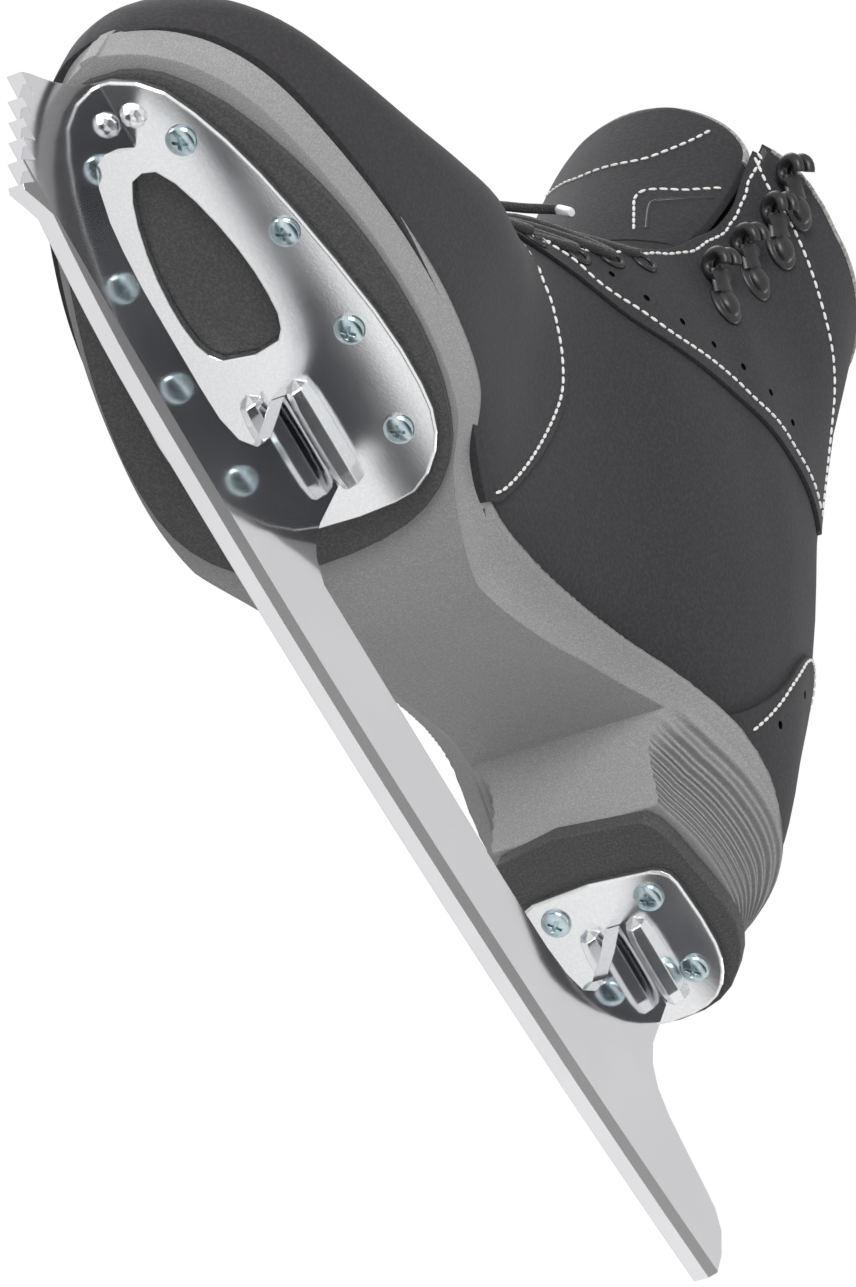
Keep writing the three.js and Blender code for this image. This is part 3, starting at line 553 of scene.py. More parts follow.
def lowToHigh(z, turn, out, start=0.2):
    # The point of the boot at height z and this turn.
    low, high = start, 1.0
    for _ in range(24):
        mid = (low + high) / 2
        if ringPoint(mid, turn, out).z < z:
            low = mid
        else:
            high = mid
    return ringPoint(low, turn, out)


def besideOpening(side, z, distance, out):
    # The point on the boot at height z, this far along the leather from the edge of the opening.
    opening = between(upper["throat"], z)
    turn, gone, last = 0.02, 0, None
    while turn < math.pi:
        here = lowToHigh(z, side * turn, out)
        if abs(here.x) >= opening:
            if last is not None:
                gone += (here - last).length
            last = here
            if gone >= distance:
                return here, turn
        turn += 0.02
    return here, turn


def bodyTube(name, out):
    rings = []
    for k in range(body["along"]):
        u = k / (body["along"] - 1)
        rings.append([ringPoint(u, 2 * math.pi * i / body["across"], out) for i in range(body["across"])])
    return loft(name, rings)


def lastingUp(offset, stop=189):
    # The lasting line from toe to heel, raised by offset.
    return [(y, z + offset) for y, z in lastingLine if y <= stop]


def collarLine(drop):
    return [(p.x, p.y - drop) for p in smoothLine(upper["collar"], 8)]


def throatCutter(grow):
    side = [(half + grow, z - (grow if z == 144 else 0)) for z, half in upper["throat"]]
    return prism("throatCutter", side + [(-x, z) for x, z in reversed(side)], "y", -60, 74)


def panel(name, out, inward, outline, throatGrow=0.0):
    # A part of the boot's skin, between two offsets and inside a side outline.
    made = bodyTube(name, out)
    cut(made, bodyTube("inside", inward))
    cut(made, prism("outline", outline, "x", -90, 90), "INTERSECT")
    if throatGrow is not None:
        cut(made, throatCutter(throatGrow))
    tidyNormals(made)
    return made


seam = [tuple(p) for p in smoothLine(upper["seam"], 6) if p.y > between(lastingLine, p.x) - 1.5]
collar = collarLine(0)
toeOutline = [p for p in lastingUp(-1.5) if p[0] < 26] + list(reversed(seam)) + [(-13, 215), (-125, 215)]
vamp = panel("vampPanel", upper["vampProud"], -upper["thick"], toeOutline)
heelOutline = (
    [(p[0] - 3, p[1]) for p in seam]
    + [p for p in lastingUp(-1.5) if p[0] > 26]
    + [(189, 254)]
    + list(reversed(collar))
    + [(-16, 264)]
)
quarters = panel("quarterPanels", 0, -upper["thick"], heelOutline)
print("vamp and quarters cut")
stayOutline = (
    [tuple(p) for p in smoothLine(upper["stayLow"], 6)]
    + [tuple(p) for p in smoothLine(upper["stayHigh"], 6)]
    + [(20, 261), (-8, 205)]
)
stays = panel("stayPanels", upper["overlay"], upper["overlayIn"], stayOutline)
counterOutline = [tuple(p) for p in smoothLine(upper["counter"], 6)] + [(112, 60), (190, 60)]
counter = bodyTube("counterPanel", upper["overlay"])
cut(counter, bodyTube("inside", upper["overlayIn"]))
cut(counter, prism("outline", counterOutline, "x", -90, 90), "INTERSECT")
cut(counter, prism("aboveLasting", lastingUp(0.3) + [(189, 330), (-125, 330)], "x", -90, 90), "INTERSECT")
tidyNormals(counter)
liningOutline = lastingUp(3) + [(189, 252.8)] + list(reversed(collarLine(1.2))) + [(-125, 262.8)]
liningOut, liningIn = -upper["thick"] - 0.2, -upper["thick"] - upper["liningThick"]
lining = panel("bootLining", liningOut, liningIn, liningOutline, 1.0)
print("overlays and lining cut")

finishPiece(vamp, "boot", finishes["nubuck"], ["vamp"])
finishPiece(quarters, "boot", finishes["nubuck"], ["quarter_inner", "quarter_outer"])
finishPiece(stays, "boot", finishes["nubuck"], ["eyestay_inner", "eyestay_outer"])
finishPiece(counter, "boot", finishes["nubuck"], ["counter_patch"])
inside = ["lining", "collar_pad", "side_stiffener", "toe_puff", "heel_counter", "insole_board"]
finishPiece(lining, "boot", finishes["lining"], inside)

# Raw edge round the collar and down both facings
rimPath, rimOut = [], []
for k in range(-60, 61):
    turn = math.pi + math.radians(k * 2.3)
    spot = None
    for _ in range(3):
        z = between(upper["collar"], spot.y if spot else 80) - 0.2
        spot = lowToHigh(z, turn, -0.9)
    if abs(spot.x) > between(upper["throat"], spot.z) + 0.3 or spot.y > 75:
        rimPath.append(spot)
        rimOut.append(Vector((spot.x, spot.y - 80, 0)).normalized())
collarRim = tubeAlong("collarRim", rimPath, 0.75, 2.1, outward=rimOut)
finishPiece(collarRim, "boot", finishes["edgeSuede"])

for label, side in (("Inner", 1), ("Outer", -1)):
    path = [besideOpening(side, 178 + (262 - 178) * k / 30, 0.3, -0.6)[0] for k in range(31)]
    outs = [Vector((side * 0.3, -1, 0)).normalized()] * len(path)
    edging = tubeAlong("facingEdge" + label, path, 0.7, 2.4, outward=outs)
    finishPiece(edging, "boot", finishes["darkSuede"])

skin = []
faces = []
for piece in (vamp, quarters, stays, counter):
    start = len(skin)
    skin += [v.co.copy() for v in piece.data.vertices]
    faces += [tuple(start + i for i in f.vertices) for f in piece.data.polygons]
skinTree = BVHTree.FromPolygons(skin, faces)


def onSkin(x, y, z):
    # The nearest outside point of the boot, in millimetres, and the way out of it.
    spot = Vector((x, y, z)) * mm
    middle = Vector((0, max(0.0, min(0.09, y * mm)), z * mm))
    away = (spot - middle).normalized()
    place, normal, _, _ = skinTree.ray_cast(spot + away * 0.03, -away, 0.06)
    if place is None:
        place, normal, _, _ = skinTree.find_nearest(spot)
    if normal.dot(away) < 0:
        normal = -normal
    return place / mm, normal


stitching = {
    "pitch": 2.75,
    "length": 2.1,
    "width": 0.42,
    "proud": 0.12,
    "lines": {  # points beside the surface of the inner side, mirrored for the outer
        "vamp": [
            (9, -6, 156), (25.9, 6.5, 150.5), (30.6, 10.3, 141.1), (32.2, 15.3, 136.5),
            (33.4, 20.8, 129.8), (33.9, 25.1, 124), (34, 28.9, 116.4), (34.1, 30.1, 107.8),
            (34.3, 29.9, 95.5), (34.6, 28.7, 82.6), (34.6, 26.7, 70.5), (34.6, 25, 66),
        ],
        "stay": [
            (17, 3, 163), (24.1, 18.6, 166.6), (29, 27.7, 164.9), (32.7, 37.8, 166.5),
            (35.7, 48, 168.6), (37.1, 58.8, 173.7), (38.5, 69.8, 178.6), (39.7, 79.1, 181.4),
            (39.9, 90.2, 185.9), (39.4, 100.8, 187.7), (38.2, 110.3, 188.7), (36.1, 117, 188.5),
        ],
        "cuff": [
            (33.8, 50, 256), (37.6, 56.4, 248.9), (40.5, 67, 243.9), (41.5, 78.6, 238.6),
            (41.3, 89.2, 232.7), (40.2, 98, 227.1), (38.5, 105.1, 219.4), (35.9, 114.4, 202.2),
            (35, 118.5, 190),
        ],
        "counter": [
            (36.3, 122.7, 100.8), (38.1, 126.1, 116.5), (38.4, 128.1, 128.9), (36.5, 131, 142),
            (33.6, 137, 149.5), (27, 150, 151), (14, 160, 151), (1, 163, 151),
        ],
    },
    "facingIn": [2.2],  # rows beside the opening
    "facingHeights": (156, 259),
}


def stitchRow(path, outs):
    # Points and faces of one row of stitches along a path.
    spots, quads = [], []
    walked, due = 0.0, stitching["pitch"] / 2
    half, wide = stitching["length"] / 2, stitching["width"]
    for i in range(1, len(path)):
        step = (path[i] - path[i - 1]).length
        while step > 1e-6 and walked + step >= due:
            t = (due - walked) / step
            place = path[i - 1].lerp(path[i], t) + outs[i] * stitching["proud"]
            forward = (path[i] - path[i - 1]).normalized()
            side = forward.cross(outs[i]).normalized()
            start = len(spots)
            for a in range(7):
                along = math.cos(math.pi * a / 6)
                fullness = max(0.05, math.sin(math.pi * a / 6)) ** 0.6
                for b in range(8):
                    turn = 2 * math.pi * b / 8
                    offset = (side * math.cos(turn) + outs[i] * math.sin(turn)) * wide * fullness
                    spots.append(place + forward * along * half + offset)
            for a in range(6):
                for b in range(8):
                    c = (b + 1) % 8
                    row = start + a * 8
                    quads.append((row + b, row + c, row + 8 + c, row + 8 + b))
            quads.append(tuple(start + b for b in range(8)))
            quads.append(tuple(start + 48 + b for b in range(8)))
            due += stitching["pitch"]
        walked += step
    return spots, quads


def sewn(name, rows, rides):
    # Rows of stitches as one object.
    spots, quads = [], []
    for path, outs in rows:
        some, more = stitchRow(path, outs)
        quads += [tuple(len(spots) + i for i in q) for q in more]
        spots += some
    made = newMesh(name, spots, quads)
    return finishPiece(made, rides, finishes["thread"])


def skinRow(points):
    path, outs = [], []
    for p in smoothLine(points, 14):
        place, out = onSkin(*p)
        if path and (place - path[-1]).length > 6:
            continue
        path.append(place)
        outs.append(out)
    return path, outs


for name, line in stitching["lines"].items():
    rows = [skinRow(line), skinRow([(-x, y, z) for x, y, z in line])]
    sewn(name + "Stitching", rows, "boot")
rows = []
low, high = stitching["facingHeights"]
for side in (1, -1):
    for distance in stitching["facingIn"]:
        points = []
        for k in range(26):
            z = low + (high - low) * k / 25
            here, _ = besideOpening(side, z, distance, 1.6)
            points.append(tuple(here))
        rows.append(skinRow(points))
sewn("facingStitching", rows, "boot")
print("stitching sewn")


# Punched holes are drawn as black discs on the skin: the dark lining behind them and painted shade inside
# them.
punched = {
    "radius": 1.0,
    "spots": [
        (28.4, 30.4, 172.7), (32.5, 39.6, 173.1), (35.1, 50.4, 176.9), (36.9, 61.1, 181.6),
        (38.6, 71.5, 186.2), (39.6, 82.5, 190.3), (39.3, 93.6, 193.3),
    ],
    "counterSpots": [(35.9, 135.5, 134), (37.3, 129.7, 112.5)],
    "counterRadius": 1.1,
}


def disc(spots, quads, place, out, radius):
    # A small shallow black disc, domed outwards: painted shade inside a punched hole, over the dark lining
    # behind it.
    start = len(spots)
    side = out.orthogonal().normalized()
    up = out.cross(side)
    for ring, (size, lift) in enumerate(((1.0, -0.05), (0.9, 0.06), (0.4, 0.07))):
        for b in range(12):
            turn = 2 * math.pi * b / 12
            spots.append(place + (side * math.cos(turn) + up * math.sin(turn)) * radius * size + out * lift)
    for a in range(2):
        for b in range(12):
            c = (b + 1) % 12
            row = start + a * 12
            quads.append((row + b, row + c, row + 12 + c, row + 12 + b))
    quads.append(tuple(start + b for b in range(12)))
    quads.append(tuple(start + 24 + b for b in range(12)))


spots, quads = [], []
for side in (1, -1):
    for x, y, z in punched["spots"]:
        place, out = onSkin(side * x, y, z)
        disc(spots, quads, place, out, punched["radius"])
    for x, y, z in punched["counterSpots"]:
        place, out = onSkin(side * x, y, z)
        disc(spots, quads, place, out, punched["counterRadius"])
# The discs paint the shade inside the punched holes.
holeShades = newMesh("punchedHoleShades", spots, quads)
finishPiece(holeShades, "boot", finishes["holeShadeBlack"])


# Tongue

tongue = {
    "fold": 214,
    "front": 38.8,
    "bow": 0.0135,
    "lean": 0.055,
    "thick": 4,
    "lowDepth": 7.3,  # how far the fixed part lies behind the boot's outer skin
    "half": [
        (214, 25.6), (226, 28.4), (240, 30.4), (252, 31.4), (260, 31.2), (265, 29.4),
        (269.5, 25.5), (273, 19), (275.2, 11), (276, 0.4),
    ],
    "lowHalf": [(114, 22), (140, 25), (170, 27.5), (200, 28), (213.7, 27.5)],
    "wave": [
        (-26, 264), (-21, 259.8), (-15, 255.6), (-8.2, 251.5), (2.1, 249.9), (9.7, 250.2),
        (15, 253.7), (20, 259.5), (23.5, 265.5),
    ],
    "corner": [
        (14.8, 218.2), (13.2, 226.2), (12.2, 231.8), (12.9, 234.9), (15.5, 236.4), (21.8, 237.5),
        (25, 239), (29.4, 242),
    ],
    "recess": [(17.4, 219.3), (16.2, 228.5), (17, 231.6), (22.4, 234), (28.6, 237.6)],
}


def tongueSpot(x, z, depth=0.0):
    # A point on the front face of the folding part, or depth behind it.
    y = tongue["front"] + tongue["bow"] * x * x - tongue["lean"] * (z - tongue["fold"]) + depth
    return Vector((x, y, z))


halfLine = [tuple(p) for p in smoothLine(tongue["half"], 8)]
across = 40
front, rear = [], []
for z, half in halfLine:
    for i in range(across + 1):
        x = half * (2 * i / across - 1)
        rim = min(1.0, (half - abs(x)) / 3.0, (276.2 - z) / 3.0)
        puff = 0.9 * (1 - (1 - max(0.0, rim)) ** 2)
        front.append(tongueSpot(x, z, 0.9 - puff))
        rear.append(tongueSpot(x, z, tongue["thick"] - 0.9 + puff))
levels = len(halfLine)
width = across + 1
faces = []
for k in range(levels - 1):
    for i in range(across):
        a = k * width + i
        faces.append((a, a + 1, a + 1 + width, a + width))
        b = a + levels * width
        faces.append((b, b + width, b + 1 + width, b + 1))
edge = [k * width for k in range(levels)] + [(levels - 1) * width + i for i in range(1, width)]
edge += [k * width + across for k in range(levels - 2, -1, -1)] + [i for i in range(across - 1, 0, -1)]
for k in range(len(edge)):
    a, b = edge[k], edge[(k + 1) % len(edge)]
    faces.append((a, a + levels * width, b + levels * width, b))
tongueTop = newMesh("tongueTop", front + rear, faces)
finishPiece(tongueTop, "tongue", finishes["nubuck"], ["tongue_upper"])

rimPath = [tongueSpot(-half, z, tongue["thick"] / 2) for z, half in halfLine[28:]]
rimPath += [tongueSpot(half, z, tongue["thick"] / 2) for z, half in reversed(halfLine[28:-1])]
tongueRim = tubeAlong("tongueRim", rimPath, 0.7, 2.2, outward=[(0, -1, 0)] * len(rimPath))
finishPiece(tongueRim, "tongue", finishes["edgeSuede"])


def tongueRow(points):
    path = [tongueSpot(p.x, p.y) for p in smoothLine(points, 10)]
    return path, [Vector((0, -1, 0.05)).normalized()] * len(path)


sewn("tongueStitching", [tongueRow(tongue["wave"]), tongueRow(tongue["corner"])], "tongue")
# A dark cord laid along the recess: painted shade in the crease of the tongue.
crease = [tongueSpot(p.x, p.y, 0.35) for p in smoothLine(tongue["recess"], 8)]
creaseShadeMade = tubeAlong("tongueCreaseShade", crease, 0.6, 1, outward=[(0, -1, 0)] * len(crease))
finishPiece(creaseShadeMade, "tongue", finishes["blackMetalAndCreaseShade"])

lowRings = []
for k in range(30):
    z = 114 + (213.7 - 114) * k / 29
    half = between(tongue["lowHalf"], z)
    outSide, inSide = [], []
    for i in range(-12, 13):
        x = half * i / 12
        turn = 0.0
        here = lowToHigh(z, 0.0001, -tongue["lowDepth"])
        while abs(here.x) < abs(x) and turn < 1.6:
            turn += 0.02
            here = lowToHigh(z, math.copysign(turn, x), -tongue["lowDepth"])
        joining = max(0, min(1, (z - 180) / 33)) ** 2
        y = here.y * (1 - joining) + tongueSpot(x, tongue["fold"], 0.2).y * joining
        outSide.append(Vector((x, y, z)))
        inSide.insert(0, Vector((x, y + tongue["thick"], z)))
    lowRings.append(outSide + inSide)
tongueBase = loft("tongueBase", lowRings)
finishPiece(tongueBase, "boot", finishes["nubuck"], ["tongue_lower"])
print("tongue made")


# Soft gussets that close the sides of the opening behind the tongue
gusset = {"depth": 7.7, "low": 150, "high": 258, "past": 9, "wide": 17}
for label, side in (("Inner", 1), ("Outer", -1)):
    rings = []
    for k in range(24):
        z = gusset["low"] + (gusset["high"] - gusset["low"]) * k / 23
        edge = between(upper["throat"], z)
        reach = [edge - gusset["past"] + gusset["wide"] * i / 10 for i in range(11)]
        outSide, inSide = [], []
        for x in reach:
            turn = 0.02
            here = lowToHigh(z, side * turn, -gusset["depth"])
            while abs(here.x) < x and turn < 1.55:
                turn += 0.02
                here = lowToHigh(z, side * turn, -gusset["depth"])
            outSide.append(Vector((here.x, here.y, z)))
            inSide.insert(0, Vector((here.x - side * 0.6, here.y + 1.1, z)))
        rings.append(outSide + inSide)
    gussetMade = loft("gusset" + label, rings)
    finishPiece(gussetMade, "boot", finishes["lining"])


# Midsole

midsole = {
    "levels": (56, 97, 0.5),  # first, last and step of the height rings
    "plan": [  # y, inner and outer half width at the rim
        (-112.6, 6, 2.5), (-108.8, 17.5, 12), (-101, 27.5, 20.5), (-89, 35, 28.5), (-70, 40.5, 37.5),
        (-48, 44, 45), (-25, 44.2, 50), (-3, 40, 52.3), (14, 29.6, 50.5), (30, 26.6, 44.5),
        (48, 26.6, 38), (64, 27, 35.6), (80, 28.2, 34.4), (92, 30.4, 34.6), (104, 34, 35.8),
        (118, 38.4, 38.4), (132, 39.2, 39.2), (146, 35.6, 35.6), (156, 29.6, 29.6),
        (164.5, 20.5, 20.5), (170.5, 9, 9),
    ],
    "under": [(32, 56.9), (46, 59.5), (64, 68), (82, 78.5), (94, 84.6), (103, 88)],
    "breast": [(103, 88), (107, 81.5), (112, 74.5), (116.2, 67.1)],
    "tuck": [  # how far the foot of the wall is drawn in
        (16, 3.6), (30, 7), (42, 10.5), (64, 10.5), (80, 11), (96, 13.4), (103, 14.6), (118, 14.5),
        (133, 11), (148, 7), (170, 3),
    ],
    "rim": 56.3,
    "heelBase": 67.1,
}


def soleSpot(x, y, z):
    # A point of the midsole wall at height z, drawn in below the lasting line.
    drop = max(0, between(lastingLine, y) - z)
    reach = between([(30, 10), (100, 20)], y)
    inset = between(midsole["tuck"], y) * (1 - (1 - min(1, drop / reach)) ** 2.6)
    half = max(min(2.4, abs(x)), abs(x) - inset)
    return Vector((math.copysign(half, x), y, z))


def ribbed(ring):
    # Level ribs round the sides and the rear of the heel, faded out at their ends
    out = []
    for i, p in enumerate(ring):
        ahead = ring[(i + 1) % len(ring)] - ring[i - 1]
        outward = Vector((ahead.y, -ahead.x, 0)).normalized()
        fade = max(0, min(1, (p.y - 103) / 6)) * max(0, min(1, (89.5 - p.z) / 3))
        groove = 0.5 - 0.5 * math.cos(2 * math.pi * p.z / heelRib["pitch"])
        out.append(p - outward * heelRib["depth"] * groove * fade)
    return out


first, last, step = midsole["levels"]
rimLoop = [(inner, y) for y, inner, outer in midsole["plan"]]
rimLoop += [(-outer, y) for y, inner, outer in reversed(midsole["plan"])]
rimLine = smoothLine(rimLoop, 8, True)
heights = [first + step * k for k in range(round((last - first) / step) + 1)]
rings = [ribbed([soleSpot(p.x, p.y, z) for p in rimLine]) for z in heights]
midsoleMade = loft("midsoleFoam", rings)
under = [(-125, midsole["rim"]), (18, midsole["rim"])]
under += [tuple(p) for p in smoothLine(midsole["under"], 8)]
under += [tuple(p) for p in smoothLine(midsole["breast"], 6)[1:]] + [(190, midsole["heelBase"])]
cut(midsoleMade, prism("profile", under + list(reversed(lastingUp(0))), "x", -90, 90), "INTERSECT")
tidyNormals(midsoleMade)
finishPiece(midsoleMade, "boot", finishes["foam"], ["midsole", "shank"])
print("midsole made")


# Metal fittings

screws = {
    "radius": 3.7,
    "high": 1.75,
    "cross": 2.35,
    "bar": 0.85,
    "deep": 1.3,
    "profile": [(1, 0), (1, 0.35), (0.93, 0.68), (0.72, 0.92), (0.35, 1)],  # shares of radius and height
}


def roundHead(name, place, turn):
    # A pan head with a cross recess, facing down.
    radius, high = screws["radius"], screws["high"]
    profile = [(radius * across, high * down) for across, down in screws["profile"]] + [(0.05, high)]
    rings = [[Vector((r * math.cos(a), r * math.sin(a), -h)) for a in turnsOf(32)] for r, h in profile]
    made = loft(name, rings)
    deep, long, wide = screws["deep"], screws["cross"], screws["bar"] / 2
    for quarter in (0, math.pi / 2):
        box = []
        for h, grow in ((-high - 1, 1.0), (-high + deep, 0.55)):
            reach = long * grow
            corners = [(-reach, -wide), (reach, -wide), (reach, wide), (-reach, wide)]
            c, s = math.cos(turn + quarter), math.sin(turn + quarter)
            box.append([Vector((x * c - y * s, x * s + y * c, h)) for x, y in corners])
        cut(made, loft("recess", box))
    tidyNormals(made, angle=25)
    made.data.transform(Matrix.Translation(place))
    return made


random.seed(4)
for label in ("inner", "outer"):
    for kind, count in (("sole", 4), ("heel", 2)):
        for i in range(count):
            node = f"{kind}_screw_{label}_{i + 1}"
            low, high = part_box(node)
            place = Vector(((low.x + high.x) / 2, (low.y + high.y) / 2, low.z + screws["high"] * mm))
            name = kind + "Screw" + label.capitalize() + str(i + 1)
            head = roundHead(name, place, random.uniform(0.2, 1.3))
            finishPiece(head, "boot", finishes["zinc"], [node])

plainNodes = {
    "blade": "steel",
    "sole_plate": "chrome",
    "heel_plate": "chrome",
    "outsole": "rubber",
    "heel_lift": "rubber",
    "footbed": "footbed",
}
for node, finish in plainNodes.items():
    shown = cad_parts[node]
    shown.data.materials.clear()
    shown.data.materials.append(finishes[finish])
print("metal fitted")


hooks = {
    "levels": [202.5, 221.5, 238, 252.5],
    "fromEdge": [16.5, 13, 13, 13],
    "tilt": math.pi / 4,
    "foot": (4.5, 5.9, 1.4),  # oval foot half width, half length, height
    "rivet": (3.1, 4.1, 2.3),
    "wire": 1.5,
    "loop": 3.7,
    "spread": 1.85,
}
eyelets = {"levels": [152.5, 161.5, 170.5, 179.5, 188.5], "fromEdge": 6, "ring": 2.9, "wire": 0.75}


def seatAt(side, z, fromEdge, lift, tilt=0.0):
    # A matrix whose z points out of the boot and whose y points to the opening, tilted upwards.
    here, turn = besideOpening(side, z, fromEdge, lift)
    toEdge = (lowToHigh(z, side * (turn - 0.06), lift) - here).normalized()
    rise = (lowToHigh(z + 3, side * turn, lift) - here).normalized()
    out = rise.cross(toEdge).normalized()
    if out.dot(here - Vector((0, 95, z))) < 0:
        out.negate()
    long = (toEdge * math.cos(tilt) + rise * math.sin(tilt)).normalized()
    long = (long - out * long.dot(out)).normalized()
    cross = long.cross(out).normalized()
    made = Matrix((cross, long, out)).transposed().to_4x4()
    made.translation = here
    return made


def domed(center, size, rows=8, sides=24):
    # Rings of an oval dome on a flat foot.
    rings = []
    for k in range(rows + 1):
        a = math.pi / 2 * k / rows
        s = max(0.02, math.cos(a)) ** 0.7
        wide, long, high = size[0] * s, size[1] * s, size[2] * math.sin(a)
        spots = [Vector((wide * math.cos(t), long * math.sin(t), high)) for t in turnsOf(sides)]
        rings.append([center + p for p in spots])
    return rings


def joined(name, pieces):
    # Several objects in one mesh.
    work = bmesh.new()
    for piece in pieces:
        work.from_mesh(piece.data)
        bpy.data.objects.remove(piece, do_unlink=True)
    data = bpy.data.meshes.new(name)
    work.to_mesh(data)
    work.free()
    made = bpy.data.objects.new(name, data)
    bpy.context.scene.collection.objects.link(made)
    tidyNormals(made)
    return made


def hookShape(name):
    # One lace hook about its own middle: an oval foot, a domed rivet, a neck and two curled loops.
    foot, rivet, wire, loop = Vector(hooks["foot"]), Vector(hooks["rivet"]), hooks["wire"], hooks["loop"]
    low = Vector((0, -4.2, 0))
    pieces = [loft("foot", domed(low, foot)), loft("rivet", domed(low + Vector((0, -0.3, 0.7)), rivet))]
    neck = [Vector((0, -1.5, 0.9)), Vector((0, 1, 1.4)), Vector((0, 3, 2)), Vector((0, 4.6, 2.6))]
    pieces.append(tubeAlong("neck", neck, [3.6, 3.2, 3.1, 3.2], 0.4, outward=[(0, 0, 1)] * 4, sides=16))
    for side in (-1, 1):
        path, outs = [], []
        for k in range(19):
            a = math.radians(-70 + 285 * k / 18)
            long, high = 5.2 + loop * math.sin(a) * 0.8, 3.9 - loop * math.cos(a) * 0.85
            path.append(Vector((side * hooks["spread"], long, high)))
            outs.append((1, 0, 0))
        pieces.append(tubeAlong("loop", path, wire, 1, outward=outs))
    return joined(name, pieces)


for label, side in (("inner", 1), ("outer", -1)):
    for i, z in enumerate(hooks["levels"]):
        made = hookShape("laceHook" + label.capitalize() + str(i + 1))
        place = seatAt(side, z, hooks["fromEdge"][i], upper["overlay"] + 0.05, hooks["tilt"])
        place.translation *= mm
        made.matrix_world = place
        finishPiece(made, "boot", finishes["blackMetalAndCreaseShade"], [f"lace_hook_{label}_{i + 1}"])
    for i, z in enumerate(eyelets["levels"]):
        place = seatAt(side, z, eyelets["fromEdge"], upper["overlay"])
        radius = eyelets["ring"]
        ring = [place @ Vector((radius * math.cos(a), radius * math.sin(a), 0.2)) for a in turnsOf(24)]
        outs = [place.col[2].to_3d()] * len(ring)
        name = "eyelet" + label.capitalize() + str(i + 1)
        made = tubeAlong(name, ring, eyelets["wire"], 1, True, outward=outs)
        finishPiece(made, "boot", finishes["blackMetalAndCreaseShade"], [f"eyelet_{label}_{i + 1}"])
print("hooks and eyelets set")


# Lace

lace = {"radius": 1.35, "flat": 0.75, "lift": 1.5, "cross": 2.4, "tagRadius": 1.3}


def laceSpot(side, i, lift):
    return besideOpening(side, eyelets["levels"][i], eyelets["fromEdge"], upper["overlay"] + lift)[0]


def crossing(z, lift):
    return lowToHigh(z, 0.001, upper["overlay"] + lift)


stops = []
for i in range(4, 0, -1):
    middle = (eyelets["levels"][i] + eyelets["levels"][i - 1]) / 2
    stops += [laceSpot(-1 if i % 2 else 1, i, lace["lift"]), crossing(middle, lace["lift"])]
lift = lace["lift"]
stops += [laceSpot(1, 0, lift), crossing(eyelets["levels"][0], lift), laceSpot(-1, 0, lift)]
for i in range(1, 5):
    middle = (eyelets["levels"][i] + eyelets["levels"][i - 1]) / 2
    stops += [crossing(middle, lace["lift"] + lace["cross"]), laceSpot(1 if i % 2 else -1, i, lace["lift"])]
path = smoothLine([tuple(p) for p in stops], 10)
outs = [Vector((p.x * 0.02, -0.8, 0.6)).normalized() for p in path]
laceMade = tubeAlong("lace", path, lace["radius"] * 1.25, lace["flat"], outward=outs, sides=14)
finishPiece(laceMade, "boot", finishes["cordBlack"], ["lace"])
tail = [tuple(crossing(180, 6.5)), tuple(crossing(186, 8)), (5, 15.5, 193), (10.5, 20, 196.5)]
tailMade = tubeAlong("laceTail", smoothLine(tail, 8), lace["radius"], 0.8)
finishPiece(tailMade, "boot", finishes["cordBlack"])
tag = [Vector((10.5, 20, 196.5)).lerp(Vector((17.5, 18.6, 188.5)), k / 8) for k in range(9)]
tagMade = tubeAlong("laceTag", tag, [0.9] + [lace["tagRadius"]] * 7 + [0.9])
finishPiece(tagMade, "boot", finishes["plastic"])
print("lace threaded")


# Studio

studio = {
    "white": 1.0,
    "fill": 0.72,
    "cameraPlace": (0.75507, -0.60054, -1.22534),
    "cameraRight": (0.84373, 0.47011, 0.25906),
    "cameraUp": (0.26674, -0.78604, 0.55767),
    "lens": 195.76,
    "card": ((0.05, -0.3), (0.24, 0.4), -0.15),
    "lights": [  # name, place, aimed at, size, watts
        ("keyLight", (0.9, -1.3, -0.4), (0, 0.02, 0.1), 0.9, 19),
        ("topLight", (-0.7, -0.4, 1.4), (0, 0.03, 0.15), 1.2, 11),
        ("rimLight", (0.5, 1.4, 0.5), (0, 0.03, 0.15), 0.7, 5),
    ],
}


def aimed(place, target):
    return (Vector(target) - Vector(place)).to_track_quat("-Z", "Y").to_matrix().to_4x4()


for name, place, target, size, watts in studio["lights"]:
    lamp = bpy.data.lights.new(name, "AREA")
    lamp.shape = "DISK"
    lamp.size = size
    lamp.energy = watts
    made = bpy.data.objects.new(name, lamp)
    bpy.context.scene.collection.objects.link(made)
    made.matrix_world = Matrix.Translation(place) @ aimed(place, target)

floorData = bpy.data.meshes.new("floor")
floorData.from_pydata([(-4, -4, 0), (4, -4, 0), (4, 4, 0), (-4, 4, 0)], [], [(0, 1, 2, 3)])
floor = bpy.data.objects.new("floor", floorData)
bpy.context.scene.collection.objects.link(floor)
pale = bpy.data.materials.new("paleFloor")
pale.use_nodes = True
nodes, links = pale.node_tree.nodes, pale.node_tree.links
shade = nodes["Principled BSDF"]
shade.inputs["Base Color"].default_value = (0.82, 0.82, 0.82, 1)
shade.inputs["Roughness"].default_value = 0.7
clear = nodes.new("ShaderNodeBsdfTransparent")
side = nodes.new("ShaderNodeNewGeometry")
seen = nodes.new("ShaderNodeLightPath")
fromAbove = mathNode(pale.node_tree, "SUBTRACT", seen.outputs["Is Camera Ray"], side.outputs["Backfacing"])
fromAbove.node.use_clamp = True
mix = nodes.new("ShaderNodeMixShader")
links.new(fromAbove, mix.inputs["Fac"])
links.new(clear.outputs["BSDF"], mix.inputs[1])
links.new(shade.outputs["BSDF"], mix.inputs[2])
links.new(mix.outputs["Shader"], nodes["Material Output"].inputs["Surface"])
floorData.materials.append(pale)

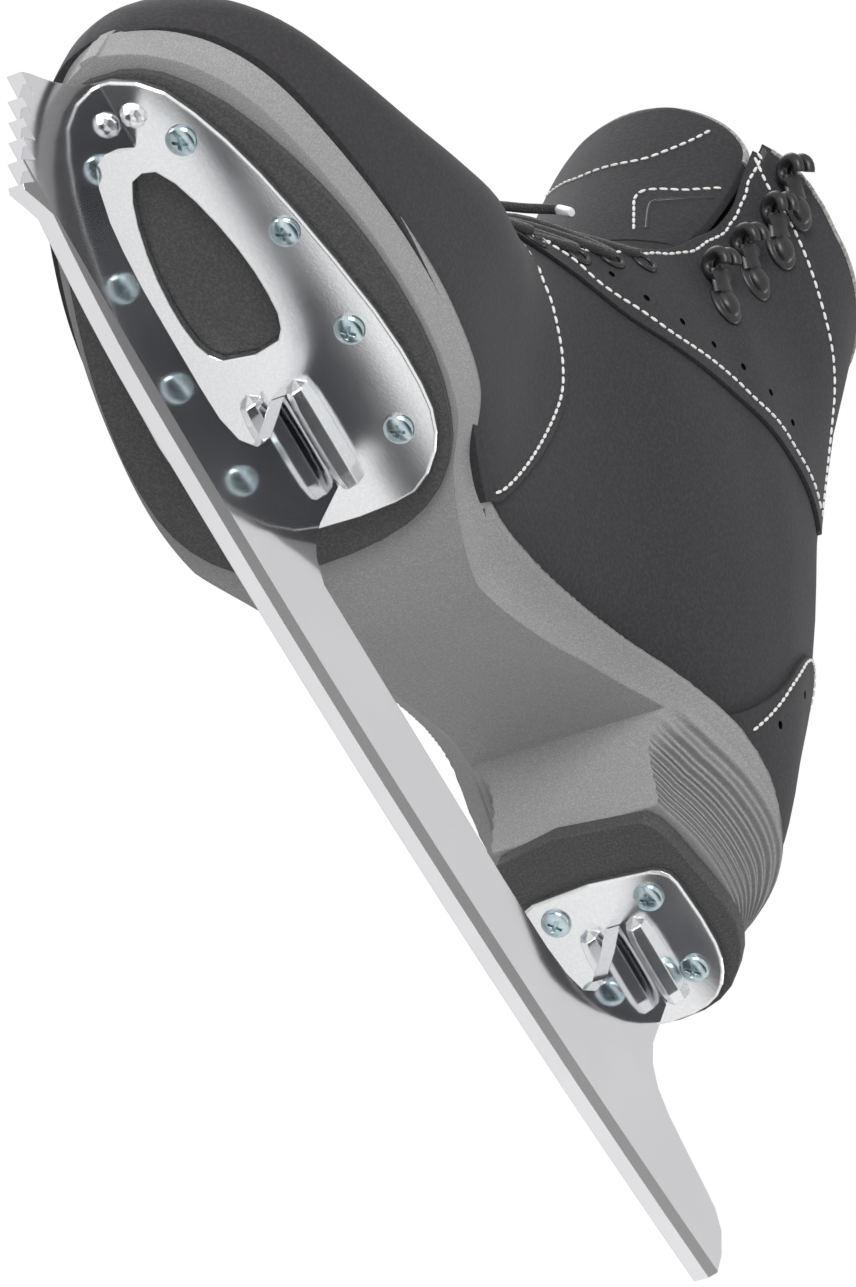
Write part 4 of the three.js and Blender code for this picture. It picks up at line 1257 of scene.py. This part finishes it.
# A dark card low on the inner side, seen only in the polished metal
cardData = bpy.data.meshes.new("darkCard")
(x0, y0), (x1, y1), z = studio["card"]
cardData.from_pydata([(x0, y0, z), (x1, y0, z), (x1, y1, z), (x0, y1, z)], [], [(0, 1, 2, 3)])
card = bpy.data.objects.new("darkCard", cardData)
bpy.context.scene.collection.objects.link(card)
night = bpy.data.materials.new("cardBlack")
night.use_nodes = True
night.node_tree.nodes["Principled BSDF"].inputs["Base Color"].default_value = (0.004, 0.006, 0.012, 1)
night.node_tree.nodes["Principled BSDF"].inputs["Roughness"].default_value = 0.9
cardData.materials.append(night)
card.visible_camera = False
card.visible_diffuse = False
card.visible_shadow = False

world = bpy.data.worlds.new("studioWorld")
bpy.context.scene.world = world
world.use_nodes = True
nodes, links = world.node_tree.nodes, world.node_tree.links
back = nodes["Background"]
way = nodes.new("ShaderNodeTexCoord")
sky = world.node_tree
spot = splitNode(sky, way.outputs["Generated"])
darkSide = rangeNode(sky, spot["X"], -0.75, -0.35, 0.45, 1.05, soft=True)
below = rangeNode(sky, spot["Z"], -0.35, -0.1, soft=True)
above = rangeNode(sky, spot["Z"], 0.2, 0.9, 0.85, 0.7)
tone = mixNode(sky, "FLOAT", below, darkSide, above)
seen = nodes.new("ShaderNodeLightPath")
fill = mathNode(sky, "MULTIPLY", tone, seen.outputs["Is Diffuse Ray"])
soft = mathNode(sky, "MULTIPLY_ADD", fill, studio["fill"] - 1, tone)
strength = mixNode(sky, "FLOAT", seen.outputs["Is Camera Ray"], soft, studio["white"])
links.new(strength, back.inputs["Strength"])
back.inputs["Color"].default_value = (1, 1, 1, 1)

lens = bpy.data.cameras.new("mainCamera")
lens.sensor_fit = "VERTICAL"
lens.sensor_height = 36
lens.lens = studio["lens"]
lens.clip_end = 50
camera = bpy.data.objects.new("mainCamera", lens)
bpy.context.scene.collection.objects.link(camera)
right, up = Vector(studio["cameraRight"]), Vector(studio["cameraUp"])
turned = Matrix((right, up, right.cross(up))).transposed().to_4x4()
turned.translation = Vector(studio["cameraPlace"])
camera.matrix_world = turned
bpy.context.scene.camera = camera
bpy.context.scene.view_settings.view_transform = "Standard"
print("studio ready")
